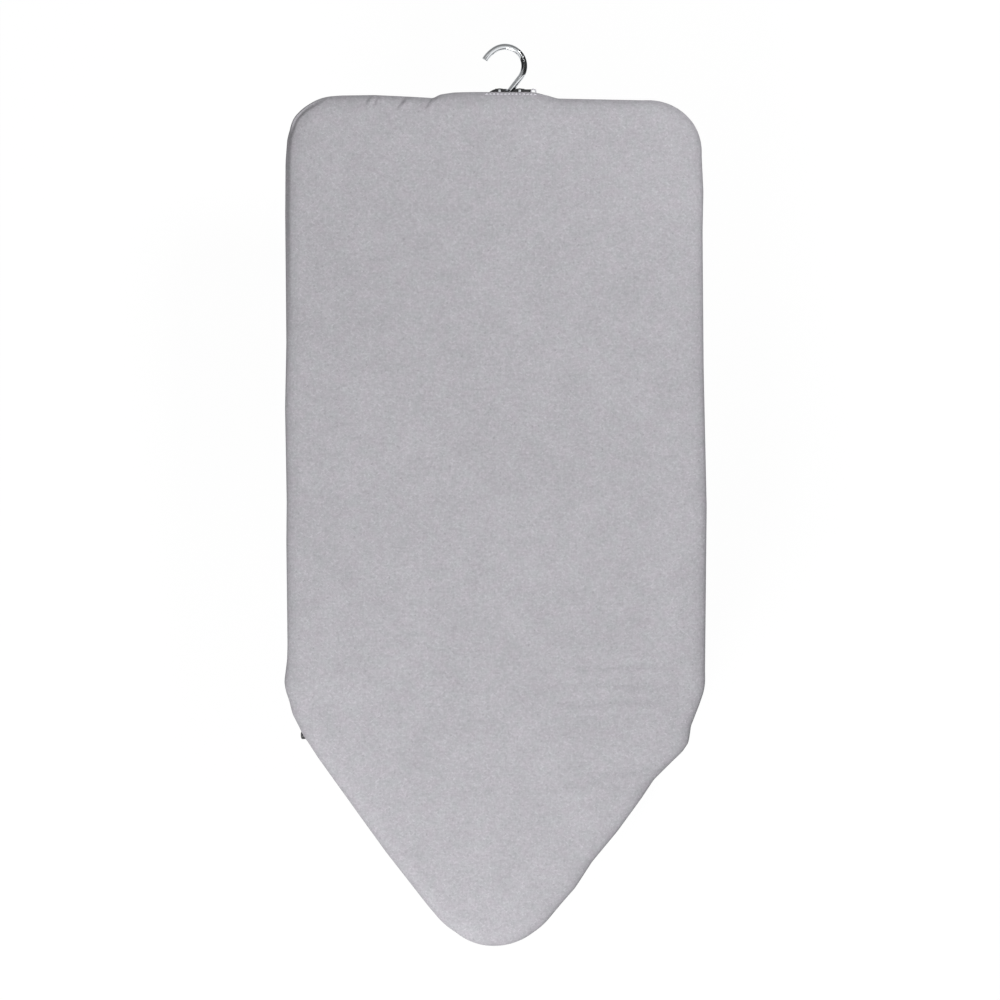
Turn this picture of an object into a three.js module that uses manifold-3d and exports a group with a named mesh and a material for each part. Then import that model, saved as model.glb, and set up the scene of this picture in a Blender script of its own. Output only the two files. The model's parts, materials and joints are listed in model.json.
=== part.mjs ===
// Table-top ironing board: a padded, covered board on a wire-rimmed mesh panel, with two
// folding legs underneath and a swivelling hook for hanging it up.
// Millimetres, +Z up. The board stands on a table on its open legs: +Y points to the square end
// with the hook, -Y to the nose, and the origin is on the table under the middle of the part.
import * as THREE from 'three';
import { mergeVertices } from 'three/addons/utils/BufferGeometryUtils.js';
import Module from 'manifold-3d';

const wasm = await Module();
wasm.setup();

// Outline of the covered board
const BOARD_LENGTH = 728;
const BOARD_WIDTH = 360;
const LEFT_CORNER_RADIUS = 40;
const RIGHT_CORNER_RADIUS = 50;
const SHOULDER_FROM_NOSE = 222;
const TAPER_FROM_NOSE = 180;
const TAPER_SETBACK = 15;
const SHOULDER_RADIUS = 45;
const NOSE_RADIUS = 61;
const NOSE_OFFSET = -1.8;

// Where the cover is pushed out, by the hook bracket and by one end of the front pivot rod
const HOOK_BULGE_HEIGHT = 4.3;
const HOOK_BULGE_SLOPE = 22;
const HOOK_BULGE_MARGIN = 3;
const BULGE_AT_EDGE = 0.4;
const ROD_BULGE_HEIGHT = 4;
const ROD_BULGE_REACH = 15;
const ROD_BULGE_DROP = 9;

// Gap between pieces that touch
const GAP = 0.3;

// Cover, hem and pad
const COVER_THICKNESS = 0.9;
const PAD_THICKNESS = 8;
const PAD_EDGE_RADIUS = 6;
const HEM_DEPTH = 24;
const HEM_CASING = 7.5;
const HEM_CORNER = 3;
const HEM_CLEARANCE = 1;
const ELASTIC_THICKNESS = 1;

// Rim, mesh panel and cross bars
const RIM_DIAMETER = 8;
const RIM_SETBACK = 3;
const PANEL_THICKNESS = 1;
const PANEL_EDGE = 9;
const DIAMOND_WIDTH = 48;
const DIAMOND_LENGTH = 64;
const DIAMOND_STRAND = 8;
const BAR_WIDTH = 36;
const BAR_THICKNESS = 2.5;
const END_BAR_FROM_END = 42;

// Folding legs
const FOLDED_LEG_GAP = 82;
const LEG_SETBACK = 32;
const LEG_DIAMETER = 13;
const LEG_WALL = 1.2;
const LEG_BEND_RADIUS = 32;
const LEG_HEEL = 5;
const LEG_OPEN_ANGLE = THREE.MathUtils.degToRad(95);
const FRONT_PIVOT_FROM_NOSE = 181;
const REAR_PIVOT_FROM_END = 135;
const PIVOT_DIAMETER = 6;
const STOP_DIAMETER = 5;
const STOP_ALONG_LEG = 6.3;
const SPACER_LENGTH = 22;
const SPACER_DIAMETER = 10;
const CAP_LENGTH = 11.5;
const CAP_DIAMETER = 8;
const CAP_FLOOR = 2;
const FOOT_SETBACK = 55;
const FOOT_LENGTH = 42;
const FOOT_DIAMETER = 18;
const FOOT_SOLE_REACH = 9.8;
const FOOT_SOLE_WIDTH = 12;

// Hinge blocks
const BLOCK_THICKNESS = 13;
const BLOCK_LENGTH = 34;
const BLOCK_BASE_DROP = 9.5;
const BLOCK_CORNER = 4;
const BLOCK_FLANGE_REACH = 22;
const BLOCK_FLANGE_THICKNESS = 4;
const BLOCK_RIVET_SPACING = 18;

// Rivets
const RIVET_DIAMETER = 4.4;
const RIVET_HEAD_DIAMETER = 8;
const RIVET_HEAD_HEIGHT = 2;
const RIVET_CROWN_WIDTH = 0.6;
const RIVET_CROWN_HEIGHT = 0.8;

// Clip that holds both folded legs
const CLIP_WIDTH = 32;
const CLIP_BASE = 3;
const CLIP_FINGER = 2.4;
const CLIP_CLEARANCE = 0.6;
const CLIP_GRIP = 3.5;
const CLIP_RIVET_SPACING = 20;

// Hook and its bracket
const HOOK_OFFSET = 12;
const HOOK_LEAN = 4;
const HOOK_WIRE = 4.6;
const HOOK_RADIUS = 16.5;
const HOOK_REACH = 46.2;
const HOOK_TIP_ANGLE = THREE.MathUtils.degToRad(166);
const HOOK_NECK_ANGLE = THREE.MathUtils.degToRad(-45);
const HOOK_NECK_RADIUS = 8;
const BUSH_DIAMETER = 9;
const BUSH_LENGTH = 24;
const BUSH_BEYOND_END = 4;
const COLLAR_DIAMETER = 8;
const COLLAR_LENGTH = 4;
const BRACKET_THICKNESS = 2;
const BRACKET_WIDTH = 62;
const BRACKET_LIP_HEIGHT = 9;
const BRACKET_LIP_BEYOND_END = 2;
const BRACKET_FLANGE_LENGTH = 28;
const BRACKET_RIVET_SPACING = 40;
const TONGUE_WIDTH = 37;
const TONGUE_BEYOND_END = 7.8;
const TONGUE_LOBE_RADIUS = 9.4;
const TONGUE_RIVET_SPACING = 17.2;
const TONGUE_RIVET_SETBACK = 2.4;
const TONGUE_RIVET_DIAMETER = 2.2;
const TONGUE_RIVET_HEAD = 3.4;
const TONGUE_RIVET_HEIGHT = 1.1;
const SADDLE_THICKNESS = 1.5;
const SADDLE_LENGTH = 9;
const SADDLE_WIDTH = 25;

// Facets
const ROUND_SIDES = 12;
const SMALL_SIDES = 8;
const TUBE_SIDES = 10;
const BEND_STEPS = 6;
const CORNER_STEPS = 6;
const BLOCK_CORNER_STEPS = 3;
const SADDLE_STEPS = 8;
const SHOULDER_STEPS = 2;
const NOSE_STEPS = 5;
const TAPER_STEPS = 5;
const ROD_BULGE_STEPS = 5;
const SHOULDER_EDGE_STEPS = 3;
const SIDE_STEPS = 3;
const END_STEPS = 8;

// Places along the board
const noseY = -(BOARD_LENGTH + HOOK_REACH) / 2;
const endY = noseY + BOARD_LENGTH;
const frontPivotY = noseY + FRONT_PIVOT_FROM_NOSE;
const rearPivotY = endY - REAR_PIVOT_FROM_END;
const legLength = (rearPivotY - frontPivotY - FOLDED_LEG_GAP) / 2;
const frontFootY = frontPivotY + legLength;
const rearFootY = rearPivotY - legLength;
const centreBarY = (frontFootY + rearFootY) / 2;
const endBarY = endY - END_BAR_FROM_END;

// Heights of the stack, from the table up
const pivotHeight = legLength * Math.sin(LEG_OPEN_ANGLE) + FOOT_SOLE_REACH;
const heelSwing = Math.hypot(LEG_HEEL, LEG_DIAMETER / 2);
const hemBottom = pivotHeight + heelSwing + HEM_CLEARANCE;
const hemTop = hemBottom + COVER_THICKNESS;
const elasticBottom = hemTop + GAP;
const casingBottom = elasticBottom + ELASTIC_THICKNESS + GAP;
const casingTop = casingBottom + COVER_THICKNESS;
const rimHeight = hemTop + GAP + RIM_DIAMETER / 2;
const rimTop = rimHeight + RIM_DIAMETER / 2;
const barBottom = rimTop - BAR_THICKNESS;
const underBar = barBottom - GAP;
const panelBottom = rimTop + GAP;
const padBottom = panelBottom + PANEL_THICKNESS + GAP;
const padTop = padBottom + PAD_THICKNESS;
const coverInside = padTop + GAP;
const coverTop = coverInside + COVER_THICKNESS;

// Insets from the cover's outline
const padInset = COVER_THICKNESS + GAP;
const rimInset = RIM_SETBACK + RIM_DIAMETER / 2;
const insideRim = RIM_SETBACK + RIM_DIAMETER + GAP;

// Places across the legs
const legX = BOARD_WIDTH / 2 - LEG_SETBACK;
const footX = legX - FOOT_SETBACK;
const legOuterX = legX + LEG_DIAMETER / 2;
const legInnerX = legX - LEG_DIAMETER / 2;
const blockOuterX = legInnerX - SPACER_LENGTH - 2 * GAP;
const blockRivetX = blockOuterX - BLOCK_THICKNESS - BLOCK_FLANGE_REACH / 2;

// Where the leg meets the stop rod when it stands open, from the pivot
const stopAcrossLeg = LEG_DIAMETER / 2 + STOP_DIAMETER / 2 + GAP;
const stopY = STOP_ALONG_LEG * Math.cos(LEG_OPEN_ANGLE) - stopAcrossLeg * Math.sin(LEG_OPEN_ANGLE);
const stopZ = -STOP_ALONG_LEG * Math.sin(LEG_OPEN_ANGLE) - stopAcrossLeg * Math.cos(LEG_OPEN_ANGLE);

// Places around the hook
const bracketTop = hemTop;
const bracketBottom = bracketTop - BRACKET_THICKNESS;
const hookHeight = bracketBottom - GAP - BUSH_DIAMETER / 2;
const bushEndY = endY + BUSH_BEYOND_END;
const bushStartY = bushEndY - BUSH_LENGTH;
const tongueRivetY = endY + TONGUE_BEYOND_END - TONGUE_RIVET_SETBACK;
const bracketFlangeTop = underBar;
const bracketFlangeBottom = bracketFlangeTop - BRACKET_THICKNESS;
const bracketWebY = endBarY + BRACKET_FLANGE_LENGTH / 2;

const MERGE_DISTANCE = 1e-4;
const FACES_END = 0.99;
const OVERCUT = 1;

// Finishes
function finish(color, roughness, metalness) {
  return new THREE.MeshStandardMaterial({ color, roughness, metalness });
}

const clothFinish = finish(0xb6b4b9, 0.85, 0.0);
const elasticFinish = finish(0x9c9a9e, 0.9, 0.0);
const feltFinish = finish(0xd8d6d0, 0.95, 0.0);
const steelFinish = finish(0xc9cacc, 0.45, 0.6);
const legFinish = finish(0xb9bbbf, 0.4, 0.6);
const zincFinish = finish(0xb4b6ba, 0.35, 0.9);
const chromeFinish = finish(0xe4e6e8, 0.1, 1.0);
const blackSteelFinish = finish(0x161617, 0.5, 0.2);
const nylonFinish = finish(0x1c1c1e, 0.6, 0.0);
const rubberFinish = finish(0x232325, 0.9, 0.0);

const model = new THREE.Group();

function addMesh(parent, name, geometry, material) {
  const mesh = new THREE.Mesh(geometry, material);
  mesh.name = name;
  parent.add(mesh);
  return mesh;
}

// Joining and cutting

function toSolid(geometry) {
  const bare = geometry.clone();
  bare.deleteAttribute('normal');
  bare.deleteAttribute('uv');
  const merged = mergeVertices(bare, MERGE_DISTANCE);
  const vertProperties = new Float32Array(merged.attributes.position.array);
  const triVerts = new Uint32Array(merged.index.array);
  return new wasm.Manifold(new wasm.Mesh({ numProp: 3, vertProperties, triVerts }));
}

function toGeometry(solid) {
  const mesh = solid.getMesh();
  const geometry = new THREE.BufferGeometry();
  geometry.setAttribute('position', new THREE.BufferAttribute(new Float32Array(mesh.vertProperties), 3));
  geometry.setIndex(new THREE.BufferAttribute(new Uint32Array(mesh.triVerts), 1));
  geometry.computeVertexNormals();
  return geometry;
}

function cut(geometry, ...tools) {
  let solid = toSolid(geometry);
  for (const tool of tools) {
    solid = solid.subtract(toSolid(tool));
  }
  return toGeometry(solid);
}

function join(geometry, ...others) {
  let solid = toSolid(geometry);
  for (const other of others) {
    solid = solid.add(toSolid(other));
  }
  return toGeometry(solid);
}

function common(geometry, other) {
  return toGeometry(toSolid(geometry).intersect(toSolid(other)));
}

// Basic solids

function boxBetween(low, high) {
  const size = high.map((value, axis) => value - low[axis]);
  const geometry = new THREE.BoxGeometry(...size);
  geometry.translate(...low.map((value, axis) => value + size[axis] / 2));
  return geometry;
}

function cylinderX(radius, fromX, toX, sides) {
  const geometry = new THREE.CylinderGeometry(radius, radius, toX - fromX, sides);
  geometry.rotateZ(Math.PI / 2);
  geometry.translate((fromX + toX) / 2, 0, 0);
  return geometry;
}

function cylinderY(radius, fromY, toY, sides) {
  const geometry = new THREE.CylinderGeometry(radius, radius, toY - fromY, sides);
  geometry.translate(0, (fromY + toY) / 2, 0);
  return geometry;
}

function cylinderZ(radius, fromZ, toZ, sides) {
  const geometry = new THREE.CylinderGeometry(radius, radius, toZ - fromZ, sides);
  geometry.rotateX(Math.PI / 2);
  geometry.translate(0, 0, (fromZ + toZ) / 2);
  return geometry;
}

function signedVolume(points, triangles) {
  let volume = 0;
  const cross = new THREE.Vector3();
  for (let i = 0; i < triangles.length; i += 3) {
    cross.crossVectors(points[triangles[i + 1]], points[triangles[i + 2]]);
    volume += points[triangles[i]].dot(cross) / 6;
  }
  return volume;
}

// A closed skin over a row of rings with equally many points. A closed row joins its last
// ring to its first, and an open row has each end ring filled by a fan.
function skin(rings, closed) {
  const around = rings[0].length;
  const points = rings.flat();
  const triangles = [];
  const bands = closed ? rings.length : rings.length - 1;
  for (let band = 0; band < bands; band++) {
    const low = band * around;
    const high = ((band + 1) % rings.length) * around;
    for (let i = 0; i < around; i++) {
      const j = (i + 1) % around;
      triangles.push(low + i, low + j, high + j);
      triangles.push(low + i, high + j, high + i);
    }
  }
  if (!closed) {
    const last = (rings.length - 1) * around;
    const firstMiddle = points.push(middleOf(rings[0])) - 1;
    const lastMiddle = points.push(middleOf(rings.at(-1))) - 1;
    for (let i = 0; i < around; i++) {
      const j = (i + 1) % around;
      triangles.push(j, i, firstMiddle);
      triangles.push(last + i, last + j, lastMiddle);
    }
  }
  if (signedVolume(points, triangles) < 0) {
    triangles.reverse();
  }
  const geometry = new THREE.BufferGeometry().setFromPoints(points);
  geometry.setIndex(triangles);
  geometry.computeVertexNormals();
  return geometry;
}

function middleOf(ring) {
  const middle = new THREE.Vector3();
  for (const point of ring) {
    middle.add(point);
  }
  return middle.divideScalar(ring.length);
}

// A round bar along flat path points in the XY plane
function sweepFlat(path, radius, height, sides) {
  const rings = path.map((point, i) => {
    const before = path[Math.max(i - 1, 0)];
    const after = path[Math.min(i + 1, path.length - 1)];
    const along = new THREE.Vector2().subVectors(after, before).normalize();
    const ring = [];
    for (let side = 0; side < sides; side++) {
      const angle = (side + 0.5) * 2 * Math.PI / sides;
      const across = radius * Math.cos(angle);
      const up = radius * Math.sin(angle);
      ring.push(new THREE.Vector3(point.x - along.y * across, point.y + along.x * across, height + up));
    }
    return ring;
  });
  return skin(rings, false);
}

// Path points on an arc, both ends included
function arcPoints(centreX, centreY, radius, fromAngle, toAngle, steps) {
  const points = [];
  for (let step = 0; step <= steps; step++) {
    const angle = fromAngle + (toAngle - fromAngle) * step / steps;
    points.push(new THREE.Vector2(centreX + radius * Math.cos(angle), centreY + radius * Math.sin(angle)));
  }
  return points;
}

// Outline of the board as stations: a point on the cover's outline and its outward direction.
// An inset outline moves every station inwards along that direction.

function arcStations(centre, radius, fromAngle, toAngle, steps) {
  const stations = [];
  for (let step = 0; step <= steps; step++) {
    const angle = fromAngle + (toAngle - fromAngle) * step / steps;
    const outward = new THREE.Vector2(Math.cos(angle), Math.sin(angle));
    stations.push({ point: centre.clone().addScaledVector(outward, radius), outward });
  }
  return stations;
}

function edgeStations(from, to, steps) {
  const stations = [];
  for (let step = 1; step < steps; step++) {
    const point = new THREE.Vector2().lerpVectors(from.point, to.point, step / steps);
    stations.push({ point, outward: from.outward.clone() });
  }
  return stations;
}

// The rounding of a corner between two edges whose outward directions are given as angles
function roundedCorner(corner, radius, fromAngle, toAngle, steps) {
  const half = (toAngle - fromAngle) / 2;
  const middle = (toAngle + fromAngle) / 2;
  const depth = radius / Math.cos(half);
  const centre = new THREE.Vector2(corner.x - depth * Math.cos(middle), corner.y - depth * Math.sin(middle));
  return arcStations(centre, radius, fromAngle, toAngle, steps);
}

// The right half of an outline, from the nose to the middle of the square end
function halfStations(noseX, cornerRadius) {
  const noseCentre = new THREE.Vector2(noseX, noseY + NOSE_RADIUS);
  const taper = new THREE.Vector2(BOARD_WIDTH / 2 - TAPER_SETBACK, noseY + TAPER_FROM_NOSE);
  const shoulder = new THREE.Vector2(BOARD_WIDTH / 2, noseY + SHOULDER_FROM_NOSE);
  const endCorner = new THREE.Vector2(BOARD_WIDTH / 2, endY);
  const toTaper = new THREE.Vector2().subVectors(taper, noseCentre);
  const taperAngle = toTaper.angle() - Math.acos(NOSE_RADIUS / toTaper.length());
  const shoulderEdge = new THREE.Vector2().subVectors(shoulder, taper);
  const shoulderAngle = shoulderEdge.angle() - Math.PI / 2;
  const nose = arcStations(noseCentre, NOSE_RADIUS, -Math.PI / 2, taperAngle, NOSE_STEPS);
  const taperRound = roundedCorner(taper, SHOULDER_RADIUS, taperAngle, shoulderAngle, SHOULDER_STEPS);
  const shoulderRound = roundedCorner(shoulder, SHOULDER_RADIUS, shoulderAngle, 0, SHOULDER_STEPS);
  const endRound = roundedCorner(endCorner, cornerRadius, 0, Math.PI / 2, CORNER_STEPS);
  const endMiddle = { point: new THREE.Vector2(0, endY), outward: new THREE.Vector2(0, 1) };
  const bulgeStart = {
    point: taperRound[0].point.clone().addScaledVector(alongEdge(taperAngle), -2 * ROD_BULGE_REACH),
    outward: nose.at(-1).outward,
  };
  return [
    ...nose,
    ...edgeStations(nose.at(-1), bulgeStart, TAPER_STEPS),
    bulgeStart,
    ...edgeStations(bulgeStart, taperRound[0], ROD_BULGE_STEPS),
    ...taperRound,
    ...edgeStations(taperRound.at(-1), shoulderRound[0], SHOULDER_EDGE_STEPS),
    ...shoulderRound,
    ...edgeStations(shoulderRound.at(-1), endRound[0], SIDE_STEPS),
    ...endRound,
    ...edgeStations(endRound.at(-1), endMiddle, END_STEPS),
    endMiddle,
  ];
}

// Direction of an edge, counter-clockwise round the outline, from its outward angle
function alongEdge(outwardAngle) {
  return new THREE.Vector2(-Math.sin(outwardAngle), Math.cos(outwardAngle));
}

function mirrored(station) {
  const { point, outward } = station;
  return {
    point: new THREE.Vector2(-point.x, point.y),
    outward: new THREE.Vector2(-outward.x, outward.y),
  };
}

const rightHalf = halfStations(NOSE_OFFSET, RIGHT_CORNER_RADIUS);
const leftHalf = halfStations(-NOSE_OFFSET, LEFT_CORNER_RADIUS).slice(1, -1).reverse().map(mirrored);
const outline = [...rightHalf, ...leftHalf];

// How far the cover is pushed out at a station
function bulgeAt(station) {
  const { point, outward } = station;
  let bulge = 0;
  if (outward.y > FACES_END) {
    const reach = BRACKET_WIDTH / 2 + HOOK_BULGE_MARGIN + HOOK_BULGE_SLOPE;
    const inside = reach - Math.abs(point.x);
    bulge += HOOK_BULGE_HEIGHT * THREE.MathUtils.smoothstep(inside, 0, HOOK_BULGE_SLOPE);
  }
  const fromRod = Math.abs(point.y - frontPivotY + ROD_BULGE_DROP);
  if (point.x > 0 && fromRod < ROD_BULGE_REACH) {
    bulge += ROD_BULGE_HEIGHT * Math.cos(Math.PI / 2 * fromRod / ROD_BULGE_REACH) ** 2;
  }
  return bulge;
}

// One ring of the outline, at an inset and a height, with a share of the bulges
function outlineRing(inset, height, bulgeShare = 0) {
  return outline.map((station) => {
    const move = bulgeShare * bulgeAt(station) - inset;
    const point = station.point.clone().addScaledVector(station.outward, move);
    return new THREE.Vector3(point.x, point.y, height);
  });
}

function outlinePlate(inset, bottom, top) {
  return skin([outlineRing(inset, bottom), outlineRing(inset, top)], false);
}

// Cover: a top sheet with a rounded edge, a skirt and a turned-under hem with a casing.
// Each profile row is inset, height and share of the bulges, from the top sheet's face round
// the hem to its underside.
function coverGeometry() {
  const outerRadius = PAD_EDGE_RADIUS + GAP + COVER_THICKNESS;
  const innerRadius = PAD_EDGE_RADIUS + GAP;
  const roundShare = 1 - Math.SQRT1_2;
  const hemInside = HEM_DEPTH - COVER_THICKNESS;
  const casingEdge = HEM_DEPTH - HEM_CASING;
  const profile = [
    [outerRadius, coverTop, 0],
    [outerRadius * roundShare, coverTop - outerRadius * roundShare, BULGE_AT_EDGE],
    [0, coverTop - outerRadius, 1],
    [0, hemBottom + HEM_CORNER, 1],
    [HEM_CORNER, hemBottom, 1],
    [HEM_DEPTH, hemBottom, 0],
    [HEM_DEPTH, casingTop, 0],
    [casingEdge, casingTop, 0],
    [casingEdge, casingBottom, 0],
    [hemInside, casingBottom, 0],
    [hemInside, hemTop, 0],
    [HEM_CORNER + COVER_THICKNESS / 2, hemTop, 1],
    [COVER_THICKNESS, hemBottom + HEM_CORNER + COVER_THICKNESS / 2, 1],
    [COVER_THICKNESS, coverTop - outerRadius, 1],
    [COVER_THICKNESS + innerRadius * roundShare, coverInside - innerRadius * roundShare, BULGE_AT_EDGE],
    [outerRadius, coverInside, 0],
  ];
  const rings = profile.map(([inset, height, share]) => outlineRing(inset, height, share));
  return cut(skin(rings, false), hemCutout(), tongueNotch());
}

// The hem is left out where the hook bracket crosses it
function hemCutout() {
  const side = BRACKET_WIDTH / 2 + HEM_CLEARANCE;
  const outerY = endY + HOOK_BULGE_HEIGHT - COVER_THICKNESS - GAP;
  return boxBetween(
    [-side, endY - HEM_DEPTH - OVERCUT, hemBottom - OVERCUT],
    [side, outerY, casingTop + OVERCUT],
  );
}

// The skirt's lower edge clears the bracket's tongue and its rivet heads
function tongueNotch() {
  const side = TONGUE_WIDTH / 2 + OVERCUT;
  const top = bracketTop + TONGUE_RIVET_HEIGHT + 2 * GAP;
  return boxBetween(
    [HOOK_OFFSET - side, endY, hemBottom - OVERCUT],
    [HOOK_OFFSET + side, endY + TONGUE_BEYOND_END + OVERCUT, top],
  );
}

function elasticGeometry() {
  const outside = HEM_DEPTH - HEM_CASING + GAP;
  const inside = HEM_DEPTH - COVER_THICKNESS - GAP;
  const top = elasticBottom + ELASTIC_THICKNESS;
  const rings = [
    outlineRing(outside, elasticBottom),
    outlineRing(inside, elasticBottom),
    outlineRing(inside, top),
    outlineRing(outside, top),
  ];
  return cut(skin(rings, true), hemCutout());
}

// Pad: flat below, rounded along its upper edge and drawn in below
function padGeometry() {
  const roundShare = 1 - Math.SQRT1_2;
  const drawnIn = (PAD_THICKNESS - PAD_EDGE_RADIUS) / 2;
  const rings = [
    outlineRing(padInset + drawnIn, padBottom),
    outlineRing(padInset, padBottom + drawnIn),
    outlineRing(padInset, padTop - PAD_EDGE_RADIUS),
    outlineRing(padInset + PAD_EDGE_RADIUS * roundShare, padTop - PAD_EDGE_RADIUS * roundShare),
    outlineRing(padInset + PAD_EDGE_RADIUS, padTop),
  ];
  return skin(rings, false);
}

function rimGeometry() {
  const rings = [];
  for (let side = 0; side < SMALL_SIDES; side++) {
    const angle = (side + 0.5) * 2 * Math.PI / SMALL_SIDES;
    const inset = rimInset + RIM_DIAMETER / 2 * Math.cos(angle);
    rings.push(outlineRing(inset, rimHeight + RIM_DIAMETER / 2 * Math.sin(angle)));
  }
  return skin(rings, true);
}

// Panel: sheet with staggered diamond openings wherever a whole one fits inside the edge
function panelGeometry() {
  const shape = new THREE.Shape(outlineRing(rimInset, 0).map((point) => new THREE.Vector2(point.x, point.y)));
  const field = outlineRing(rimInset + PANEL_EDGE, 0);
  const halfWidth = (DIAMOND_WIDTH - DIAMOND_STRAND) / 2;
  const halfLength = (DIAMOND_LENGTH - DIAMOND_STRAND) / 2;
  const rows = Math.ceil(BOARD_LENGTH / DIAMOND_LENGTH);
  const columns = Math.ceil(BOARD_WIDTH / DIAMOND_WIDTH);
  for (let row = -rows; row <= rows; row++) {
    for (let column = -columns; column <= columns; column++) {
      const stagger = Math.abs(row % 2) / 2;
      const x = (column + stagger) * DIAMOND_WIDTH;
      const y = centreBarY + row * DIAMOND_LENGTH / 2;
      const diamond = [
        new THREE.Vector2(x + halfWidth, y),
        new THREE.Vector2(x, y + halfLength),
        new THREE.Vector2(x - halfWidth, y),
        new THREE.Vector2(x, y - halfLength),
      ];
      if (diamond.every((corner) => isInside(corner, field))) {
        shape.holes.push(new THREE.Path(diamond));
      }
    }
  }
  const geometry = new THREE.ExtrudeGeometry(shape, { depth: PANEL_THICKNESS, bevelEnabled: false });
  geometry.translate(0, 0, panelBottom);
  return geometry;
}

// True where a line from the point along +X crosses the ring an odd number of times
function isInside(point, ring) {
  let inside = false;
  ring.forEach((from, i) => {
    const to = ring[(i + 1) % ring.length];
    if (from.y > point.y !== to.y > point.y) {
      const crossing = from.x + (to.x - from.x) * (point.y - from.y) / (to.y - from.y);
      inside = crossing > point.x ? !inside : inside;
    }
  });
  return inside;
}

// Cross bars: flat bars that end at the inside of the rim
function barGeometry(y, rivetPlaces) {
  const half = BOARD_WIDTH / 2;
  const strip = boxBetween([-half, y - BAR_WIDTH / 2, barBottom], [half, y + BAR_WIDTH / 2, rimTop]);
  const inside = outlinePlate(insideRim, barBottom - OVERCUT, rimTop + OVERCUT);
  return cut(common(strip, inside), ...rivetPlaces.map(rivetHole));
}

function rivetHole([x, y]) {
  const hole = cylinderZ(RIVET_DIAMETER / 2 + GAP, 0, coverTop, SMALL_SIDES);
  hole.translate(x, y, 0);
  return hole;
}

// A rivet with its domed head below: its shank fills the hole up to the given length
function rivetGeometry(diameter, headDiameter, headHeight, length) {
  const head = headDiameter / 2;
  const profile = [
    new THREE.Vector2(0, -headHeight),
    new THREE.Vector2(head * RIVET_CROWN_WIDTH, -headHeight * RIVET_CROWN_HEIGHT),
    new THREE.Vector2(head, 0),
    new THREE.Vector2(diameter / 2, 0),
    new THREE.Vector2(diameter / 2, length),
    new THREE.Vector2(0, length),
  ];
  const geometry = new THREE.LatheGeometry(profile, SMALL_SIDES);
  geometry.rotateX(Math.PI / 2);
  return geometry;
}

function addRivet(parent, name, x, y, headZ) {
  const geometry = rivetGeometry(RIVET_DIAMETER, RIVET_HEAD_DIAMETER, RIVET_HEAD_HEIGHT, rimTop - headZ);
  const rivet = addMesh(parent, name, geometry, zincFinish);
  rivet.position.set(x, y, headZ);
}

// Hinge block, from its own pivot: a body with a flat base, on which the folded board lies, and
// a flange under the cross bar on its inner side. side is -1 on the left and 1 on the right.
function blockGeometry(side) {
  const base = -BLOCK_BASE_DROP;
  const top = underBar - pivotHeight;
  const half = BLOCK_LENGTH / 2;
  const shape = new THREE.Shape();
  shape.moveTo(-half, top);
  shape.lineTo(-half, base + BLOCK_CORNER);
  shape.absarc(-half + BLOCK_CORNER, base + BLOCK_CORNER, BLOCK_CORNER, Math.PI, 1.5 * Math.PI);
  shape.absarc(half - BLOCK_CORNER, base + BLOCK_CORNER, BLOCK_CORNER, 1.5 * Math.PI, 2 * Math.PI);
  shape.lineTo(half, top);
  const options = { depth: BLOCK_THICKNESS, bevelEnabled: false, curveSegments: BLOCK_CORNER_STEPS };
  const body = new THREE.ExtrudeGeometry(shape, options);
  body.rotateX(Math.PI / 2);
  body.rotateZ(Math.PI / 2);
  body.translate(blockOuterX - BLOCK_THICKNESS, 0, 0);
  const flangeX = blockOuterX - BLOCK_THICKNESS - BLOCK_FLANGE_REACH;
  const flangeBottom = top - BLOCK_FLANGE_THICKNESS;
  const flange = boxBetween([flangeX, -half, flangeBottom], [blockOuterX - OVERCUT, half, top]);
  const pivotBore = cylinderX(PIVOT_DIAMETER / 2 + GAP, 0, BOARD_WIDTH, ROUND_SIDES);
  const stopBore = cylinderX(STOP_DIAMETER / 2 + GAP, 0, BOARD_WIDTH, ROUND_SIDES);
  stopBore.translate(0, stopY, stopZ);
  const holes = [-1, 1].map((end) => rivetHole([blockRivetX, end * BLOCK_RIVET_SPACING / 2]));
  const geometry = cut(join(body, flange), pivotBore, stopBore, ...holes);
  if (side < 0) {
    geometry.scale(-1, 1, 1);
    flipFaces(geometry);
  }
  return geometry;
}

function flipFaces(geometry) {
  geometry.index.array.reverse();
  geometry.computeVertexNormals();
}

// Leg, folded and from its own pivot: a bent tube whose two sides turn on the pivot rod
function legPath(heel) {
  const bendX = legX - LEG_BEND_RADIUS;
  const bendY = legLength - LEG_BEND_RADIUS;
  return [
    new THREE.Vector2(legX, -heel),
    ...arcPoints(bendX, bendY, LEG_BEND_RADIUS, 0, Math.PI / 2, BEND_STEPS),
    ...arcPoints(-bendX, bendY, LEG_BEND_RADIUS, Math.PI / 2, Math.PI, BEND_STEPS),
    new THREE.Vector2(-legX, -heel),
  ];
}

function legGeometry() {
  const tube = sweepFlat(legPath(LEG_HEEL), LEG_DIAMETER / 2, 0, TUBE_SIDES);
  const bore = sweepFlat(legPath(LEG_HEEL + OVERCUT), LEG_DIAMETER / 2 - LEG_WALL, 0, TUBE_SIDES);
  const pivotBore = cylinderX(PIVOT_DIAMETER / 2 + GAP, -BOARD_WIDTH / 2, BOARD_WIDTH / 2, ROUND_SIDES);
  return cut(tube, bore, pivotBore);
}

function spacerGeometry() {
  const fromX = blockOuterX + GAP;
  const tube = cylinderX(SPACER_DIAMETER / 2, fromX, fromX + SPACER_LENGTH, ROUND_SIDES);
  const bore = cylinderX(PIVOT_DIAMETER / 2 + GAP, 0, BOARD_WIDTH, ROUND_SIDES);
  return cut(tube, bore);
}

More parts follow.
